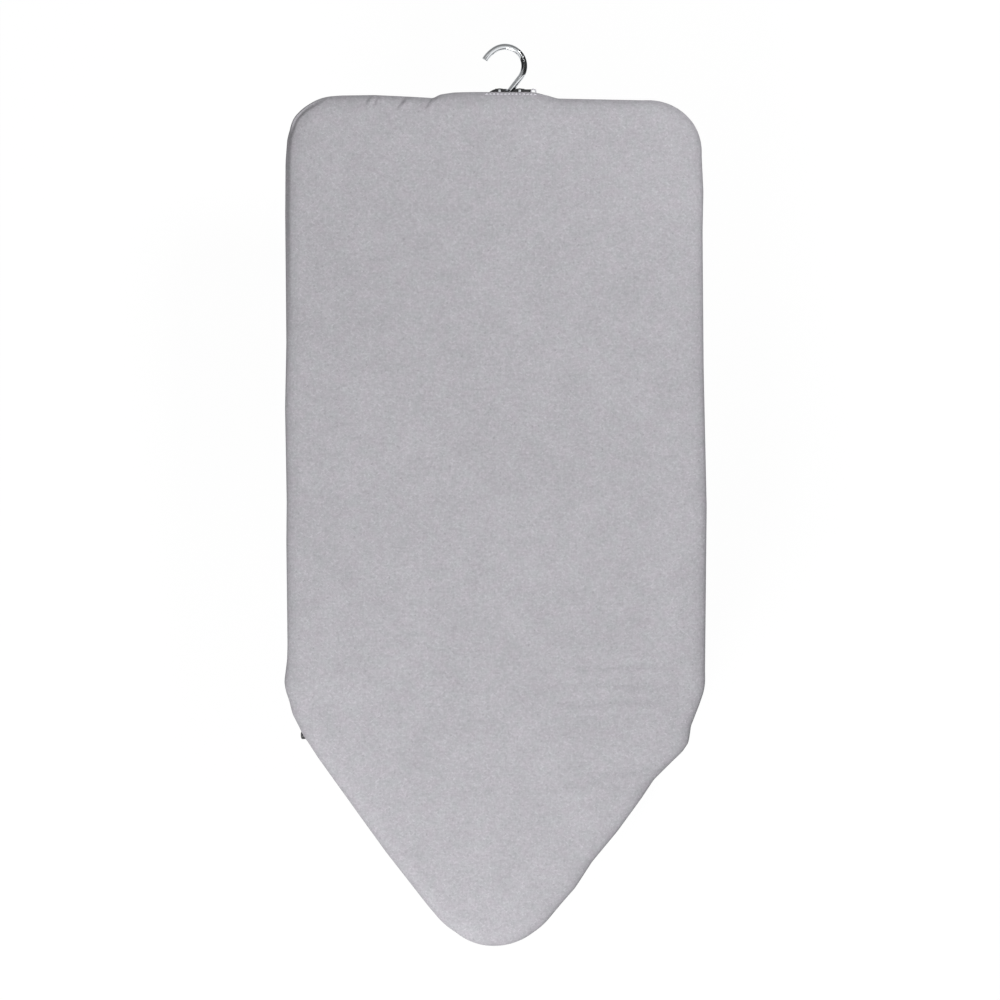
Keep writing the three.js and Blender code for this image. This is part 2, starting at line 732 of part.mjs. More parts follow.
function capGeometry() {
  const fromX = legOuterX + GAP;
  const cap = cylinderX(CAP_DIAMETER / 2, fromX, fromX + CAP_LENGTH, ROUND_SIDES);
  const bore = cylinderX(PIVOT_DIAMETER / 2 + GAP, 0, fromX + CAP_LENGTH - CAP_FLOOR, ROUND_SIDES);
  return cut(cap, bore);
}

// Foot: a sleeve on the leg's cross part, with a flat sole that meets the table when the leg
// stands open
function footGeometry() {
  const half = FOOT_LENGTH / 2;
  const sleeve = cylinderX(FOOT_DIAMETER / 2, -half, half, ROUND_SIDES);
  const sole = boxBetween([-half, 0, -FOOT_SOLE_WIDTH / 2], [half, FOOT_SOLE_REACH, FOOT_SOLE_WIDTH / 2]);
  sole.rotateX(LEG_OPEN_ANGLE - Math.PI / 2);
  const bore = cylinderX(LEG_DIAMETER / 2 + GAP, -half - OVERCUT, half + OVERCUT, ROUND_SIDES);
  return cut(join(sleeve, sole), bore);
}

// Everything that turns with one leg
function addLeg(name, pivotY, turn) {
  const leg = new THREE.Group();
  leg.position.set(0, pivotY, pivotHeight);
  leg.rotation.z = turn;
  model.add(leg);
  const open = new THREE.Group();
  open.rotation.x = -LEG_OPEN_ANGLE;
  leg.add(open);
  const rodEnd = legOuterX + CAP_LENGTH - CAP_FLOOR;
  addMesh(open, `${name}_leg_tube`, legGeometry(), legFinish);
  addMesh(open, `${name}_pivot_rod`, cylinderX(PIVOT_DIAMETER / 2, -rodEnd, rodEnd, ROUND_SIDES), zincFinish);
  const rightIsLocal = Math.cos(turn);
  for (const [sideName, side] of [['left', -1], ['right', 1]]) {
    const half = new THREE.Group();
    half.rotation.z = side * rightIsLocal > 0 ? 0 : Math.PI;
    open.add(half);
    addMesh(half, `${name}_spacer_${sideName}`, spacerGeometry(), nylonFinish);
    addMesh(half, `${name}_rod_cap_${sideName}`, capGeometry(), nylonFinish);
    const foot = addMesh(open, `${name}_foot_${sideName}`, footGeometry(), rubberFinish);
    foot.position.set(side * rightIsLocal * footX, legLength, 0);
  }
}

// The two hinge blocks, their rivets and the stop rod of one leg, fixed to the board
function addHinge(name, pivotY, turn) {
  const hinge = new THREE.Group();
  hinge.position.set(0, pivotY, pivotHeight);
  hinge.rotation.z = turn;
  model.add(hinge);
  const rightIsLocal = Math.cos(turn);
  const flangeBottom = underBar - BLOCK_FLANGE_THICKNESS - GAP - pivotHeight;
  for (const [sideName, side] of [['left', -1], ['right', 1]]) {
    const localSide = Math.sign(side * rightIsLocal);
    addMesh(hinge, `${name}_hinge_block_${sideName}`, blockGeometry(localSide), nylonFinish);
    [-1, 1].forEach((end, place) => {
      const length = rimTop - pivotHeight - flangeBottom;
      const rivet = rivetGeometry(RIVET_DIAMETER, RIVET_HEAD_DIAMETER, RIVET_HEAD_HEIGHT, length);
      const mesh = addMesh(hinge, `${name}_hinge_rivet_${sideName}_${place + 1}`, rivet, zincFinish);
      mesh.position.set(localSide * blockRivetX, end * BLOCK_RIVET_SPACING / 2, flangeBottom);
    });
  }
  const stopEnd = legX + STOP_DIAMETER;
  const stopRod = cylinderX(STOP_DIAMETER / 2, -stopEnd, stopEnd, ROUND_SIDES);
  const stop = addMesh(hinge, `${name}_stop_rod`, stopRod, zincFinish);
  stop.position.set(0, stopY, stopZ);
}

// Clip under the centre bar: a base with two fingers around each leg's cross part
function clipGeometry() {
  const half = CLIP_WIDTH / 2;
  const baseBottom = underBar - CLIP_BASE;
  const inner = LEG_DIAMETER / 2 + CLIP_CLEARANCE;
  const outer = inner + CLIP_FINGER;
  const fingerBottom = pivotHeight - CLIP_GRIP;
  const base = boxBetween([-half, frontFootY - outer, baseBottom], [half, rearFootY + outer, underBar]);
  const fingers = [];
  for (const footY of [frontFootY, rearFootY]) {
    fingers.push(boxBetween([-half, footY - outer, fingerBottom], [half, footY - inner, underBar - GAP]));
    fingers.push(boxBetween([-half, footY + inner, fingerBottom], [half, footY + outer, underBar - GAP]));
  }
  return cut(join(base, ...fingers), ...clipRivetPlaces.map(rivetHole));
}

const clipRivetPlaces = [-1, 1].map((end) => [0, centreBarY + end * CLIP_RIVET_SPACING / 2]);

function addClip() {
  addMesh(model, 'leg_clip', clipGeometry(), nylonFinish);
  clipRivetPlaces.forEach(([x, y], place) => {
    addRivet(model, `leg_clip_rivet_${place + 1}`, x, y, underBar - CLIP_BASE - GAP);
  });
}

// Hook bracket: a flange riveted under the end bar, stepped down to pass below the rim, with a
// lip up the outside of the rim and a tongue with two lobes that carries the hook
const bracketRivetPlaces = [-1, 1].map((side) => [side * BRACKET_RIVET_SPACING / 2, endBarY]);

function tongueHole(side) {
  const hole = cylinderZ(TONGUE_RIVET_DIAMETER / 2 + GAP, 0, coverTop, SMALL_SIDES);
  hole.translate(HOOK_OFFSET + side * TONGUE_RIVET_SPACING / 2, tongueRivetY, 0);
  return hole;
}

function bracketGeometry() {
  const half = BRACKET_WIDTH / 2;
  const lipY = endY + BRACKET_LIP_BEYOND_END;
  const webY = bracketWebY - BRACKET_THICKNESS;
  const flangeY = endBarY - BRACKET_FLANGE_LENGTH / 2;
  const flange = boxBetween([-half, flangeY, bracketFlangeBottom], [half, bracketWebY, bracketFlangeTop]);
  const web = boxBetween([-half, webY, bracketBottom], [half, bracketWebY, bracketFlangeTop]);
  const plate = boxBetween([-half, webY, bracketBottom], [half, lipY, bracketTop]);
  const lipTop = bracketTop + BRACKET_LIP_HEIGHT;
  const lip = boxBetween([-half, lipY - BRACKET_THICKNESS, bracketBottom], [half, lipY, lipTop]);
  const side = TONGUE_WIDTH / 2;
  const tongue = boxBetween(
    [HOOK_OFFSET - side, webY, bracketBottom],
    [HOOK_OFFSET + side, endY + HOOK_BULGE_HEIGHT, bracketTop],
  );
  const lobes = [-1, 1].map((end) => {
    const lobe = cylinderZ(TONGUE_LOBE_RADIUS, bracketBottom, bracketTop, 2 * ROUND_SIDES);
    const lobeY = endY + TONGUE_BEYOND_END - TONGUE_LOBE_RADIUS;
    lobe.translate(HOOK_OFFSET + end * TONGUE_RIVET_SPACING / 2, lobeY, 0);
    return lobe;
  });
  const holes = [...bracketRivetPlaces.map(rivetHole), tongueHole(-1), tongueHole(1)];
  return cut(join(flange, web, plate, lip, tongue, ...lobes), ...holes);
}

// Saddle: a strap bent over the bush, riveted under the tongue
function saddleGeometry() {
  const inner = BUSH_DIAMETER / 2 + GAP;
  const outer = inner + SADDLE_THICKNESS;
  const top = BUSH_DIAMETER / 2;
  const ear = SADDLE_WIDTH / 2;
  const shape = new THREE.Shape();
  shape.moveTo(-ear, top);
  shape.lineTo(-ear, top - SADDLE_THICKNESS);
  shape.lineTo(-outer, top - SADDLE_THICKNESS);
  shape.absarc(0, 0, outer, Math.PI, 2 * Math.PI);
  shape.lineTo(outer, top - SADDLE_THICKNESS);
  shape.lineTo(ear, top - SADDLE_THICKNESS);
  shape.lineTo(ear, top);
  shape.lineTo(inner, top);
  shape.absarc(0, 0, inner, 2 * Math.PI, Math.PI, true);
  shape.lineTo(-inner, top);
  const options = { depth: SADDLE_LENGTH, bevelEnabled: false, curveSegments: SADDLE_STEPS };
  const strap = new THREE.ExtrudeGeometry(shape, options);
  strap.rotateX(Math.PI / 2);
  strap.translate(HOOK_OFFSET, endY + TONGUE_BEYOND_END - GAP, hookHeight);
  return cut(strap, tongueHole(-1), tongueHole(1));
}

function bushGeometry() {
  const bush = cylinderY(BUSH_DIAMETER / 2, bushStartY, bushEndY, ROUND_SIDES);
  const bore = cylinderY(HOOK_WIRE / 2 + GAP, bushStartY - OVERCUT, bushEndY + OVERCUT, ROUND_SIDES);
  return cut(bush, bore);
}

function collarGeometry() {
  const toY = bushStartY - GAP;
  const collar = cylinderY(COLLAR_DIAMETER / 2, toY - COLLAR_LENGTH, toY, ROUND_SIDES);
  const bore = cylinderY(HOOK_WIRE / 2 + GAP, toY - COLLAR_LENGTH - OVERCUT, toY + OVERCUT, ROUND_SIDES);
  return cut(collar, bore);
}

// Hook wire: a straight shank, a bend to the slanting neck and the open round hook
function hookPath() {
  const centreX = -HOOK_LEAN;
  const centreY = endY + HOOK_REACH - HOOK_WIRE / 2 - HOOK_RADIUS;
  const round = arcPoints(centreX, centreY, HOOK_RADIUS, HOOK_NECK_ANGLE, HOOK_TIP_ANGLE, 3 * BEND_STEPS);
  const neckTop = round[0];
  const slope = HOOK_NECK_ANGLE + Math.PI / 2;
  const bendY = neckTop.y - neckTop.x * Math.tan(slope);
  const turned = Math.PI / 2 - slope;
  const bendStartY = bendY - HOOK_NECK_RADIUS * Math.tan(turned / 2);
  const radius = HOOK_NECK_RADIUS;
  const neck = arcPoints(radius, bendStartY, radius, Math.PI, Math.PI - turned, BEND_STEPS / 2);
  const start = new THREE.Vector2(0, bushStartY - GAP - COLLAR_LENGTH);
  return [start, ...neck, ...round];
}

function addHook() {
  const saddleRivetLength = hookHeight + BUSH_DIAMETER / 2 - SADDLE_THICKNESS - 2 * GAP;
  addMesh(model, 'hook_bracket', bracketGeometry(), blackSteelFinish);
  bracketRivetPlaces.forEach(([x, y], place) => {
    addRivet(model, `hook_bracket_rivet_${place + 1}`, x, y, bracketFlangeBottom - GAP);
  });
  addMesh(model, 'hook_saddle', saddleGeometry(), zincFinish);
  const headZ = bracketTop + GAP / 2;
  [['left', -1], ['right', 1]].forEach(([sideName, side]) => {
    const length = headZ - saddleRivetLength;
    const rivet = rivetGeometry(TONGUE_RIVET_DIAMETER, TONGUE_RIVET_HEAD, TONGUE_RIVET_HEIGHT, length);
    rivet.rotateX(Math.PI);
    const mesh = addMesh(model, `hook_rivet_${sideName}`, rivet, chromeFinish);
    mesh.position.set(HOOK_OFFSET + side * TONGUE_RIVET_SPACING / 2, tongueRivetY, headZ);
  });
  const bush = addMesh(model, 'hook_bush', bushGeometry(), nylonFinish);
  bush.position.set(HOOK_OFFSET, 0, hookHeight);
  const wire = addMesh(model, 'hook_wire', sweepFlat(hookPath(), HOOK_WIRE / 2, 0, TUBE_SIDES), chromeFinish);
  wire.position.set(HOOK_OFFSET, 0, hookHeight);
  const collar = addMesh(model, 'hook_collar', collarGeometry(), zincFinish);
  collar.position.set(HOOK_OFFSET, 0, hookHeight);
}

function blockRivetPlaces(pivotY) {
  const places = [];
  for (const side of [-1, 1]) {
    for (const end of [-1, 1]) {
      places.push([side * blockRivetX, pivotY + end * BLOCK_RIVET_SPACING / 2]);
    }
  }
  return places;
}

function addBoard() {
  addMesh(model, 'cover', coverGeometry(), clothFinish);
  addMesh(model, 'hem_elastic', elasticGeometry(), elasticFinish);
  addMesh(model, 'pad', padGeometry(), feltFinish);
  addMesh(model, 'mesh_panel', panelGeometry(), steelFinish);
  addMesh(model, 'rim_rod', rimGeometry(), steelFinish);
  addMesh(model, 'front_cross_bar', barGeometry(frontPivotY, blockRivetPlaces(frontPivotY)), steelFinish);
  addMesh(model, 'rear_cross_bar', barGeometry(rearPivotY, blockRivetPlaces(rearPivotY)), steelFinish);
  addMesh(model, 'centre_cross_bar', barGeometry(centreBarY, clipRivetPlaces), steelFinish);
  addMesh(model, 'end_cross_bar', barGeometry(endBarY, bracketRivetPlaces), steelFinish);
}

addBoard();
addHinge('front', frontPivotY, 0);
addHinge('rear', rearPivotY, Math.PI);
addLeg('front', frontPivotY, 0);
addLeg('rear', rearPivotY, Math.PI);
addClip();
addHook();

export default model;
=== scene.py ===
# Looks of a table-top ironing board: a fitted cloth cover over a felt pad, a mesh panel with a wire
# rim, two folding legs and a swivelling hook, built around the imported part. Metres, +Z up.
import json
import math

import bmesh
import bpy
import numpy as np
from mathutils import Matrix, Vector, geometry, kdtree


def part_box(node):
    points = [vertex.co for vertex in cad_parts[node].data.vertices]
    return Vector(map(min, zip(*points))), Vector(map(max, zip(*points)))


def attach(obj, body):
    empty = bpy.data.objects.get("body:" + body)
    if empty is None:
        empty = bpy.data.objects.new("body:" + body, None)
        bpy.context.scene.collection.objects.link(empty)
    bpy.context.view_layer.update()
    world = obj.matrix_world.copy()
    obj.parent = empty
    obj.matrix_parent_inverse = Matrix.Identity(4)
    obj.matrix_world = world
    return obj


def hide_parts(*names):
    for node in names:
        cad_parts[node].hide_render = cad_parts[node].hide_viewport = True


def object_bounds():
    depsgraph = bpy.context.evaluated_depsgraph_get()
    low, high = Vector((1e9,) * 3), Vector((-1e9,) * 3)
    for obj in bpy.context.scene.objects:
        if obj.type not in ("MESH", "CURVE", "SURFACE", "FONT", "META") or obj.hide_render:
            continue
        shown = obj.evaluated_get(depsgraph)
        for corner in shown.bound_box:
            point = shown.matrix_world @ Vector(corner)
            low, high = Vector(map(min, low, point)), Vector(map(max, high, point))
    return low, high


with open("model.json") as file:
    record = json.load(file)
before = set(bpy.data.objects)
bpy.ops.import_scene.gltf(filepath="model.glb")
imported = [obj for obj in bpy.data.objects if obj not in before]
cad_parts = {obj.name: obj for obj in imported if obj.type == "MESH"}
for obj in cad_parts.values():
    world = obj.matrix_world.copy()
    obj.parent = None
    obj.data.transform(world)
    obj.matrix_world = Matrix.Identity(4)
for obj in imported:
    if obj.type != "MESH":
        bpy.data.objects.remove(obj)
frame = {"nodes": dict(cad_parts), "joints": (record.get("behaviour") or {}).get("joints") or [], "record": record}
cad_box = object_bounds()

MM = 0.001
QUARTER = math.pi / 2
TINY = 1e-9
X_AXIS = Vector((1, 0, 0))
Y_AXIS = Vector((0, 1, 0))
Z_AXIS = Vector((0, 0, 1))

record = frame["record"]
BODY_OF = {node: body for body, nodes in record["behaviour"]["bodies"].items() for node in nodes}
SLOT_OF = {part["node"]: part["material_slot"] for part in record["subparts"]}
COLOR_OF = {entry["slot"]: entry["base_color"] for entry in record["materials"]}
JOINTS = {joint["name"]: joint for joint in frame["joints"]}

# Outline of the covered board
LEFT_CORNER_RADIUS = 40 * MM
RIGHT_CORNER_RADIUS = 50 * MM
SHOULDER_FROM_NOSE = 222 * MM
TAPER_FROM_NOSE = 180 * MM
TAPER_SETBACK = 15 * MM
SHOULDER_RADIUS = 45 * MM
NOSE_RADIUS = 61 * MM
NOSE_OFFSET = -1.8 * MM
HOOK_BULGE = 4.3 * MM
FINE_STEP = 1.2 * MM
COARSE_STEP = 4 * MM

cover_low, cover_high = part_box("cover")
HALF_WIDTH = cover_high.x
NOSE_Y = cover_low.y
END_Y = cover_high.y - HOOK_BULGE
TOP_Z = cover_high.z
TABLE_Z = 0.0
FRONT_PIVOT = Vector(JOINTS["front_leg_fold"]["pos_m"])
REAR_PIVOT = Vector(JOINTS["rear_leg_fold"]["pos_m"])
HOOK_AXIS = Vector(JOINTS["hook_swivel"]["pos_m"])

# How far the edge departs from that outline: (place along the edge, push) in millimetres. Where it
# falls short the whole board is narrower, and where it stands out only the cloth bulges.
# The square end is read along X, and the two sides along Y, from the nose.
END_PUSH = (
    (-160, -0.6), (-132, 1.4), (-104, 1.8), (-72, 0.3), (-58, -0.5), (-53.5, -1.0), (-48, 2.2),
    (-36, 4.0), (-20, 4.4), (33, 4.3), (45, 1.2), (53, -1.2), (77, -1.7), (126, -2.7), (158, -2.2),
)
LEFT_PUSH = (
    (-387, -0.3), (-377, -2.3), (-352, -0.1), (-305, 1.6), (-274, 1.3), (-225, 0.6), (-212, -0.4),
    (-199, 0.5), (-187, 2.2), (-176, 1.0), (-160, 1.2), (-141, -1.2), (-129, -1.5), (-40, -0.5),
    (-5, -0.8), (74, 0.6), (130, -0.5), (240, 0.5), (285, 0.2), (313, -1.8), (324, -0.2), (336, -0.9),
)
RIGHT_PUSH = (
    (-387, -0.3), (-376, -1.3), (-352, -0.1), (-336, 1.3), (-315, -0.6), (-288, 0.9), (-260, 0.2),
    (-245, -1.0), (-229, 1.8), (-218, 4.0), (-211, 3.6), (-205, 1.0), (-199, -0.7), (-180, -0.1),
    (-150, -0.5), (-10, 0.9), (110, -1.7), (225, -2.6), (260, -1.9), (291, -3.4), (320, -1.9),
)
PUSH_BLUR = 2 * MM
FACES_END = 0.9

# Cover: edge, skirt, hem and its rolled casing, as insets from the outline
CLOTH_THICKNESS = 0.8 * MM
EDGE_REACH = 15 * MM
EDGE_DROP = 7.6 * MM
FLAT_DEPTH = 24 * MM
FLAT_STEPS = 6
EDGE_STEPS = 16
SKIRT_STEPS = 6
RIM_INSET = 7 * MM
RIM_RADIUS = 4 * MM
RIM_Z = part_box("rim_rod")[0].z + RIM_RADIUS
WRAP_RADIUS = RIM_RADIUS + 1.2 * MM
WRAP_STEPS = 7
HEM_STEPS = 4
SEAM_INSET = 16.4 * MM
HEM_INSET = 24 * MM
CASING_RADIUS = 1.5 * MM
CASING_STEPS = 5
CASING_END_DROP = 1.4 * MM
BRACKET_GAP = 32 * MM
WRAP_ROW = FLAT_STEPS + EDGE_STEPS + SKIRT_STEPS
HEM_ROW = WRAP_ROW + WRAP_STEPS
SEAM_ROW = HEM_ROW + HEM_STEPS
TOP_GRID = 2.8 * MM
GRID_MARGIN = 0.6
FILL_INSIDE = 1
FILL_TOUCH = 1e-7
CLOTH_MAP = "cloth"

# Hem simulation: the cloth was cut to hang straighter than it lies, so drawing it under gathers it
SETTLE_STEP = 3 * MM
SETTLE_DRAWN_FRAME = 14
SETTLE_FRAMES = 28
SETTLE_FIRST_ROW = HEM_ROW - 1
SETTLE_HELD_ROWS = 2
SETTLE_LAST_ROW = SEAM_ROW + HEM_STEPS
SETTLE_CUT_ANGLE = math.radians(20)
SETTLE_PIN_STEP = 4
SETTLE_CAP = 4 * MM
SETTLE_CLOTH = {
    "quality": 6,
    "mass": 0.05,
    "tension_stiffness": 12,
    "compression_stiffness": 12,
    "shear_stiffness": 4,
    "bending_stiffness": 0.002,
}

# Cover: gathers of the hem and puckers of the skirt
CORNER_GATHER = 2.8 * MM
SIDE_GATHER = 0.9 * MM
STRAIGHT_TURN = 1e-4
GATHER_BLUR = 18 * MM
GATHER_LENGTH = 11 * MM
GATHER_SHARE = 0.62
GATHER_DRIFT = 1.7
GATHER_DRIFT_LENGTH = 31 * MM
GATHER_OTHER_LENGTH = 17.3 * MM
GATHER_OTHER_SHARE = 0.38
GATHER_OTHER_PHASE = 0.8
GATHER_MEAN = 0.55
GATHER_SWING = 0.55
PIVOT_GATHER = 0.12
PIVOT_NEAR = 13 * MM
PIVOT_FAR = 39 * MM
PUCKER_DEPTH = 0.9 * MM
PUCKER_FULL_DROP = 1.3 * EDGE_DROP
PUCKER_FADE_DROP = 1.5 * EDGE_DROP
PUCKER_END_DROP = 1.9 * EDGE_DROP

# Cover: crown, slight unevenness, wrinkles and creases of the top, which fade over its edge
CROWN = 0.6 * MM
UNEVEN_HEIGHT = 0.07 * MM
UNEVEN_X = 23 * MM
UNEVEN_Y = 37 * MM
UNEVEN_PHASE = 0.6
UNEVEN_DRIFT = 1.3
UNEVEN_DRIFT_Y = 61 * MM
RELIEF_FULL_DROP = 0.3 * EDGE_DROP
RELIEF_END_DROP = 0.9 * EDGE_DROP
# Wrinkles across the top: (x from, x to, y halfway, slope, height, half width), lengths in millimetres
WRINKLES = (
    (60, 160, -137, 0.0, 0.6, 3.0),
    (52, 165, -152, 0.0, 1.1, 3.0),
    (48, 162, -168, 0.0, 1.1, 3.0),
    (48, 150, -183, 0.0, 1.4, 3.0),
    (62, 152, -243, 0.3, 1.5, 3.0),
    (34, 114, -255, 0.1, 1.3, 3.0),
    (-150, -60, -40, 0.0, 0.2, 9.0),
    (-40, 70, 150, 0.0, 0.2, 10.0),
)
WRINKLE_END = 25 * MM
WRINKLE_SWAY = 1.6 * MM
WRINKLE_SWAY_X = 14 * MM
# Creases near the edge, each with a flap rising on its right: (from x, from y, to x, to y, height,
# half width) in millimetres
CREASES = (
    (-53.7, 341.0, -60.5, 330.0, 1.9, 1.2),
    (-75.2, 341.5, -84.6, 331.0, 2.0, 1.4),
    (-106.9, 342.0, -112.9, 332.5, 1.4, 1.3),
    (-100.9, 341.0, -106.0, 330.0, 1.3, 1.2),
    (48.0, 341.5, 43.0, 334.0, 0.5, 1.4),
)
# Where a crease fades in and out, in its lengths, and its flap and groove across, in half widths
CREASE_FADE_IN = (-0.9, 0.1)
CREASE_FADE_OUT = (0.5, 1.15)
CREASE_FLAP_RISE = (-0.4, 0.9)
CREASE_FLAP_REACH = 4.5
CREASE_GROOVE_AT = -0.6
CREASE_GROOVE = 0.6 * MM
# Pleat: a ledge round the left end corner, and a slope down to the edge along the side below it
LEDGE_DEPTH = 1.8 * MM
LEDGE_INNER_INSET = 4.3 * MM
LEDGE_OUTER_INSET = 2.6 * MM
LEDGE_FROM = math.radians(98)
LEDGE_FULL = LEDGE_FROM + 0.3
PLEAT_DEPTH = 2.6 * MM
PLEAT_INNER_INSET = 4.6 * MM
PLEAT_OUTER_INSET = 1.0 * MM
PLEAT_FROM = math.radians(150)
PLEAT_FULL = math.radians(172)
PLEAT_LAST = math.radians(198)
PLEAT_END_Y = 90 * MM
PLEAT_FULL_Y = 300 * MM
PLEAT_END_DROP = 1.8 * EDGE_DROP

# Pad, panel and elastic
PAD_INSET = 2.2 * MM
PAD_EDGE_REACH = 12.8 * MM
PAD_EDGE_DROP = 7 * MM
PAD_EDGE_STEPS = 12
PAD_GRID = 8 * MM
PANEL_EDGE_INSET = 17 * MM
PANEL_FIELD_INSET = 13 * MM
DIAMOND_WIDTH = 20 * MM
DIAMOND_LENGTH = 9 * MM
DIAMOND = ((1, 0), (0, 1), (-1, 0), (0, -1))
STRAND_HALF_WIDTH = 1.1 * MM
STRAND_THICKNESS = 0.8 * MM
STRAND_TILT = 0.6 * MM
SHARED_CORNER = 0.01 * MM
BAND_THICKNESS = 0.8 * MM
ELASTIC_OUTER_INSET = 17 * MM
ELASTIC_INNER_INSET = 22.6 * MM
ELASTIC_RIB = 0.12 * MM
ELASTIC_RIB_PITCH = 3 * COARSE_STEP

# Seams of the hem's casing and above the slit
STITCH_PITCH = 3.2 * MM
STITCH_LENGTH = 2.4 * MM
STITCH_RADIUS = 0.45 * MM
STITCH_SIDES = 6
# One stitch: share of its length, height out of the cloth and thickness, both in radii
STITCH_SHAPE = ((0.0, -0.8, 0.5), (0.18, 0.4, 1.0), (0.82, 0.4, 1.0), (1.0, -0.8, 0.5))
SLIT_SEAM_REACH = 23 * MM
SLIT_SEAM_ROW = FLAT_STEPS + 11
SLIT_SEAM_FACING = Vector((0, 0.7, 0.7))

# Loop of cord at the right end of the slit
CORD_LOOP_X = 32.4 * MM
CORD_LOOP_BEYOND_END = 4.9 * MM
CORD_LOOP_RADIUS = 2.0 * MM
CORD_RADIUS = 0.6 * MM
CORD_STEPS = 24

# Legs and rods
LEG_X = 148 * MM
LEG_RADIUS = 6.5 * MM
LEG_WALL = 1.2 * MM
LEG_BEND_RADIUS = 32 * MM
LEG_BEND_STEPS = 14
LEG_HEEL = 5 * MM
LEG_BORE_DEPTH = 12 * MM
LEG_END_CHAMFER = 0.3 * MM
PIVOT_RADIUS = 3 * MM
STOP_RADIUS = 2.5 * MM
EDGE_CHAMFER = 0.5 * MM
SPACER_RADIUS = 5 * MM
SPACER_WAIST_RADIUS = 4.5 * MM
# Waist of a spacer: shares of its length where it starts to narrow and is narrow
SPACER_WAIST = (0.2, 0.24)
# Cap of a rod: its collar as (place, radius) and its dome as (share of the dome before the tip,
# radius), lengths in millimetres
CAP_COLLAR = ((0, 3.7), (0.3, 4.0), (1.8, 4.0), (2.1, 3.6))
CAP_DOME = ((1.0, 3.6), (0.6, 3.44), (0.25, 2.64), (0.06, 1.52), (0.0, 0.48))
CAP_DOME_LENGTH = 1.4 * MM
FRONT_LEFT_CAP_OVERHANG = 1.0 * MM

# Feet
FOOT_RADIUS = 9 * MM
FOOT_SIDES = 56
FOOT_SOLE_REACH = 9.8 * MM
FOOT_SOLE_HALF_WIDTH = 6 * MM
FOOT_CHAMFER = 0.9 * MM
FOOT_RIBS = 7
FOOT_GROOVE = 0.7 * MM
FOOT_GROOVE_MOUTH = 0.9 * MM
FOOT_GROOVE_FLOOR = 0.5 * MM

# Hook, bush and collar
HOOK_RADIUS = 16.5 * MM
HOOK_WIRE_RADIUS = 2.3 * MM
HOOK_ARC_RADIUS = 2.7 * MM
HOOK_LEAN = 4 * MM
HOOK_DROOP = math.radians(3.5)
HOOK_NECK_ANGLE = math.radians(-37)
HOOK_NECK_RADIUS = 3.9 * MM
HOOK_NECK_STEPS = 10
HOOK_EASE_ANGLE = math.radians(122)
HOOK_STEPS = 40
HOOK_TIP_ANGLE = math.radians(149)
HOOK_TIP_RADIUS = 26 * MM
HOOK_TIP_STEPS = 10
# Ends of the wire: (distance in millimetres, share of the thickness)
HOOK_SHANK_END = ((0, 0.7), (0.5, 1.0))
HOOK_CUT_END = ((0.1, 0.97), (0.4, 0.8))
BUSH_RADIUS = 4.5 * MM
COLLAR_RADIUS = 4 * MM

# Tongue of the hook bracket: a left lobe spread at its foot and a right one with a square end
TONGUE_FROM_Y = END_Y + HOOK_BULGE - 0.1 * MM
TONGUE_HOLE_MARGIN = 1 * MM
TONGUE_LEFT_SPREAD = 1.42
TONGUE_BAR_BEYOND_END = 6.9 * MM
# Saddle: its mouth flares past the bush, where the hook's neck turns
SADDLE_WALL_REACH = 6.5 * MM
SADDLE_MOUTH_GROWTH = 0.16

# Rivets: shank radius, head radius, head height, way the head faces and fullness of a flat (below
# one) or domed head
HOOK_RIVET = (1.1 * MM, 1.7 * MM, 1.1 * MM, Z_AXIS, 0.45)
BOARD_RIVET = (2.2 * MM, 4 * MM, 2 * MM, -Z_AXIS, 1.0)
RIVET_HEAD_STEPS = 7
RIVET_HEAD_RIM = 0.15
RIVET_HEAD_UNDERCUT = 0.1 * MM

# Rounded edges of the pressed and moulded pieces
BEVELS = {"nylon": 0.7 * MM, "panel_steel": 0.4 * MM, "black_steel": 0.35 * MM, "zinc_steel": 0.3 * MM}
BEVEL_ANGLE = math.radians(50)
BEVEL_SEGMENTS = 3
WELD_DISTANCE = 0.01 * MM
FLAT_ANGLE = math.radians(1)
SHARP_ANGLE = math.radians(38)
ROUND_SIDES = 40
TUBE_SIDES = 28
WIRE_SIDES = 24

# Materials: noise in counts per metre, one for all ways or one for each axis, and depths of bumps
WEFT_NOISE = (210, 560, 1)
WARP_NOISE = (620, 240, 1)
RISING_NOISE = (250, 700, 1)
RISING_TURN = 40
FALLING_NOISE = (270, 740, 1)
FALLING_TURN = -35
SPECK_NOISE = (400, 400, 1)
PATCH_NOISE = 95
WARM_TINT = (1.018, 0.993, 1.007, 1.0)
COOL_TINT = (0.985, 1.007, 0.993, 1.0)
# Tones of the cloth: (noise, swing)
CLOTH_TONES = ((9, 0.025), (38, 0.032), (115, 0.028))
WEAVE_PITCH = 1.1 * MM
WEAVE_DEPTH = 0.08 * MM
SLUB_DEPTH = 0.12 * MM
YARN_NOISE = 900
YARN_DEPTH = 0.15 * MM
FIBRE_ALONG_NOISE = (90, 700, 500)
FIBRE_ACROSS_NOISE = (640, 110, 500)
FIBRE_DEPTH = 0.5 * MM
FELT_MOTTLE_NOISE = 60
COAT_MOTTLE_NOISE = 45
SCUFF_NOISE = (700, 90, 90)
PEEL_NOISE = 900
DRAWN_NOISE = (60, 1800, 1800)
CLOUD_NOISE = 120
DUST_NOISE = 110
NYLON_NOISE = 1500
RUBBER_NOISE = 1100
TWIST_NOISE = (900, 900, 2500)
TWIST_DEPTH = 0.05 * MM
# How much glossier and duller than its mean a coat or moulding gets
GLOSSIER = 0.06
DULLER = 0.08

# Camera straight above
PHOTO_WIDTH = 857 * MM
CAMERA_PLACE = Vector((3.7 * MM, -4.5 * MM))
CAMERA_DISTANCE = 20.0
CAMERA_CLIP = 100
SENSOR_WIDTH = 36

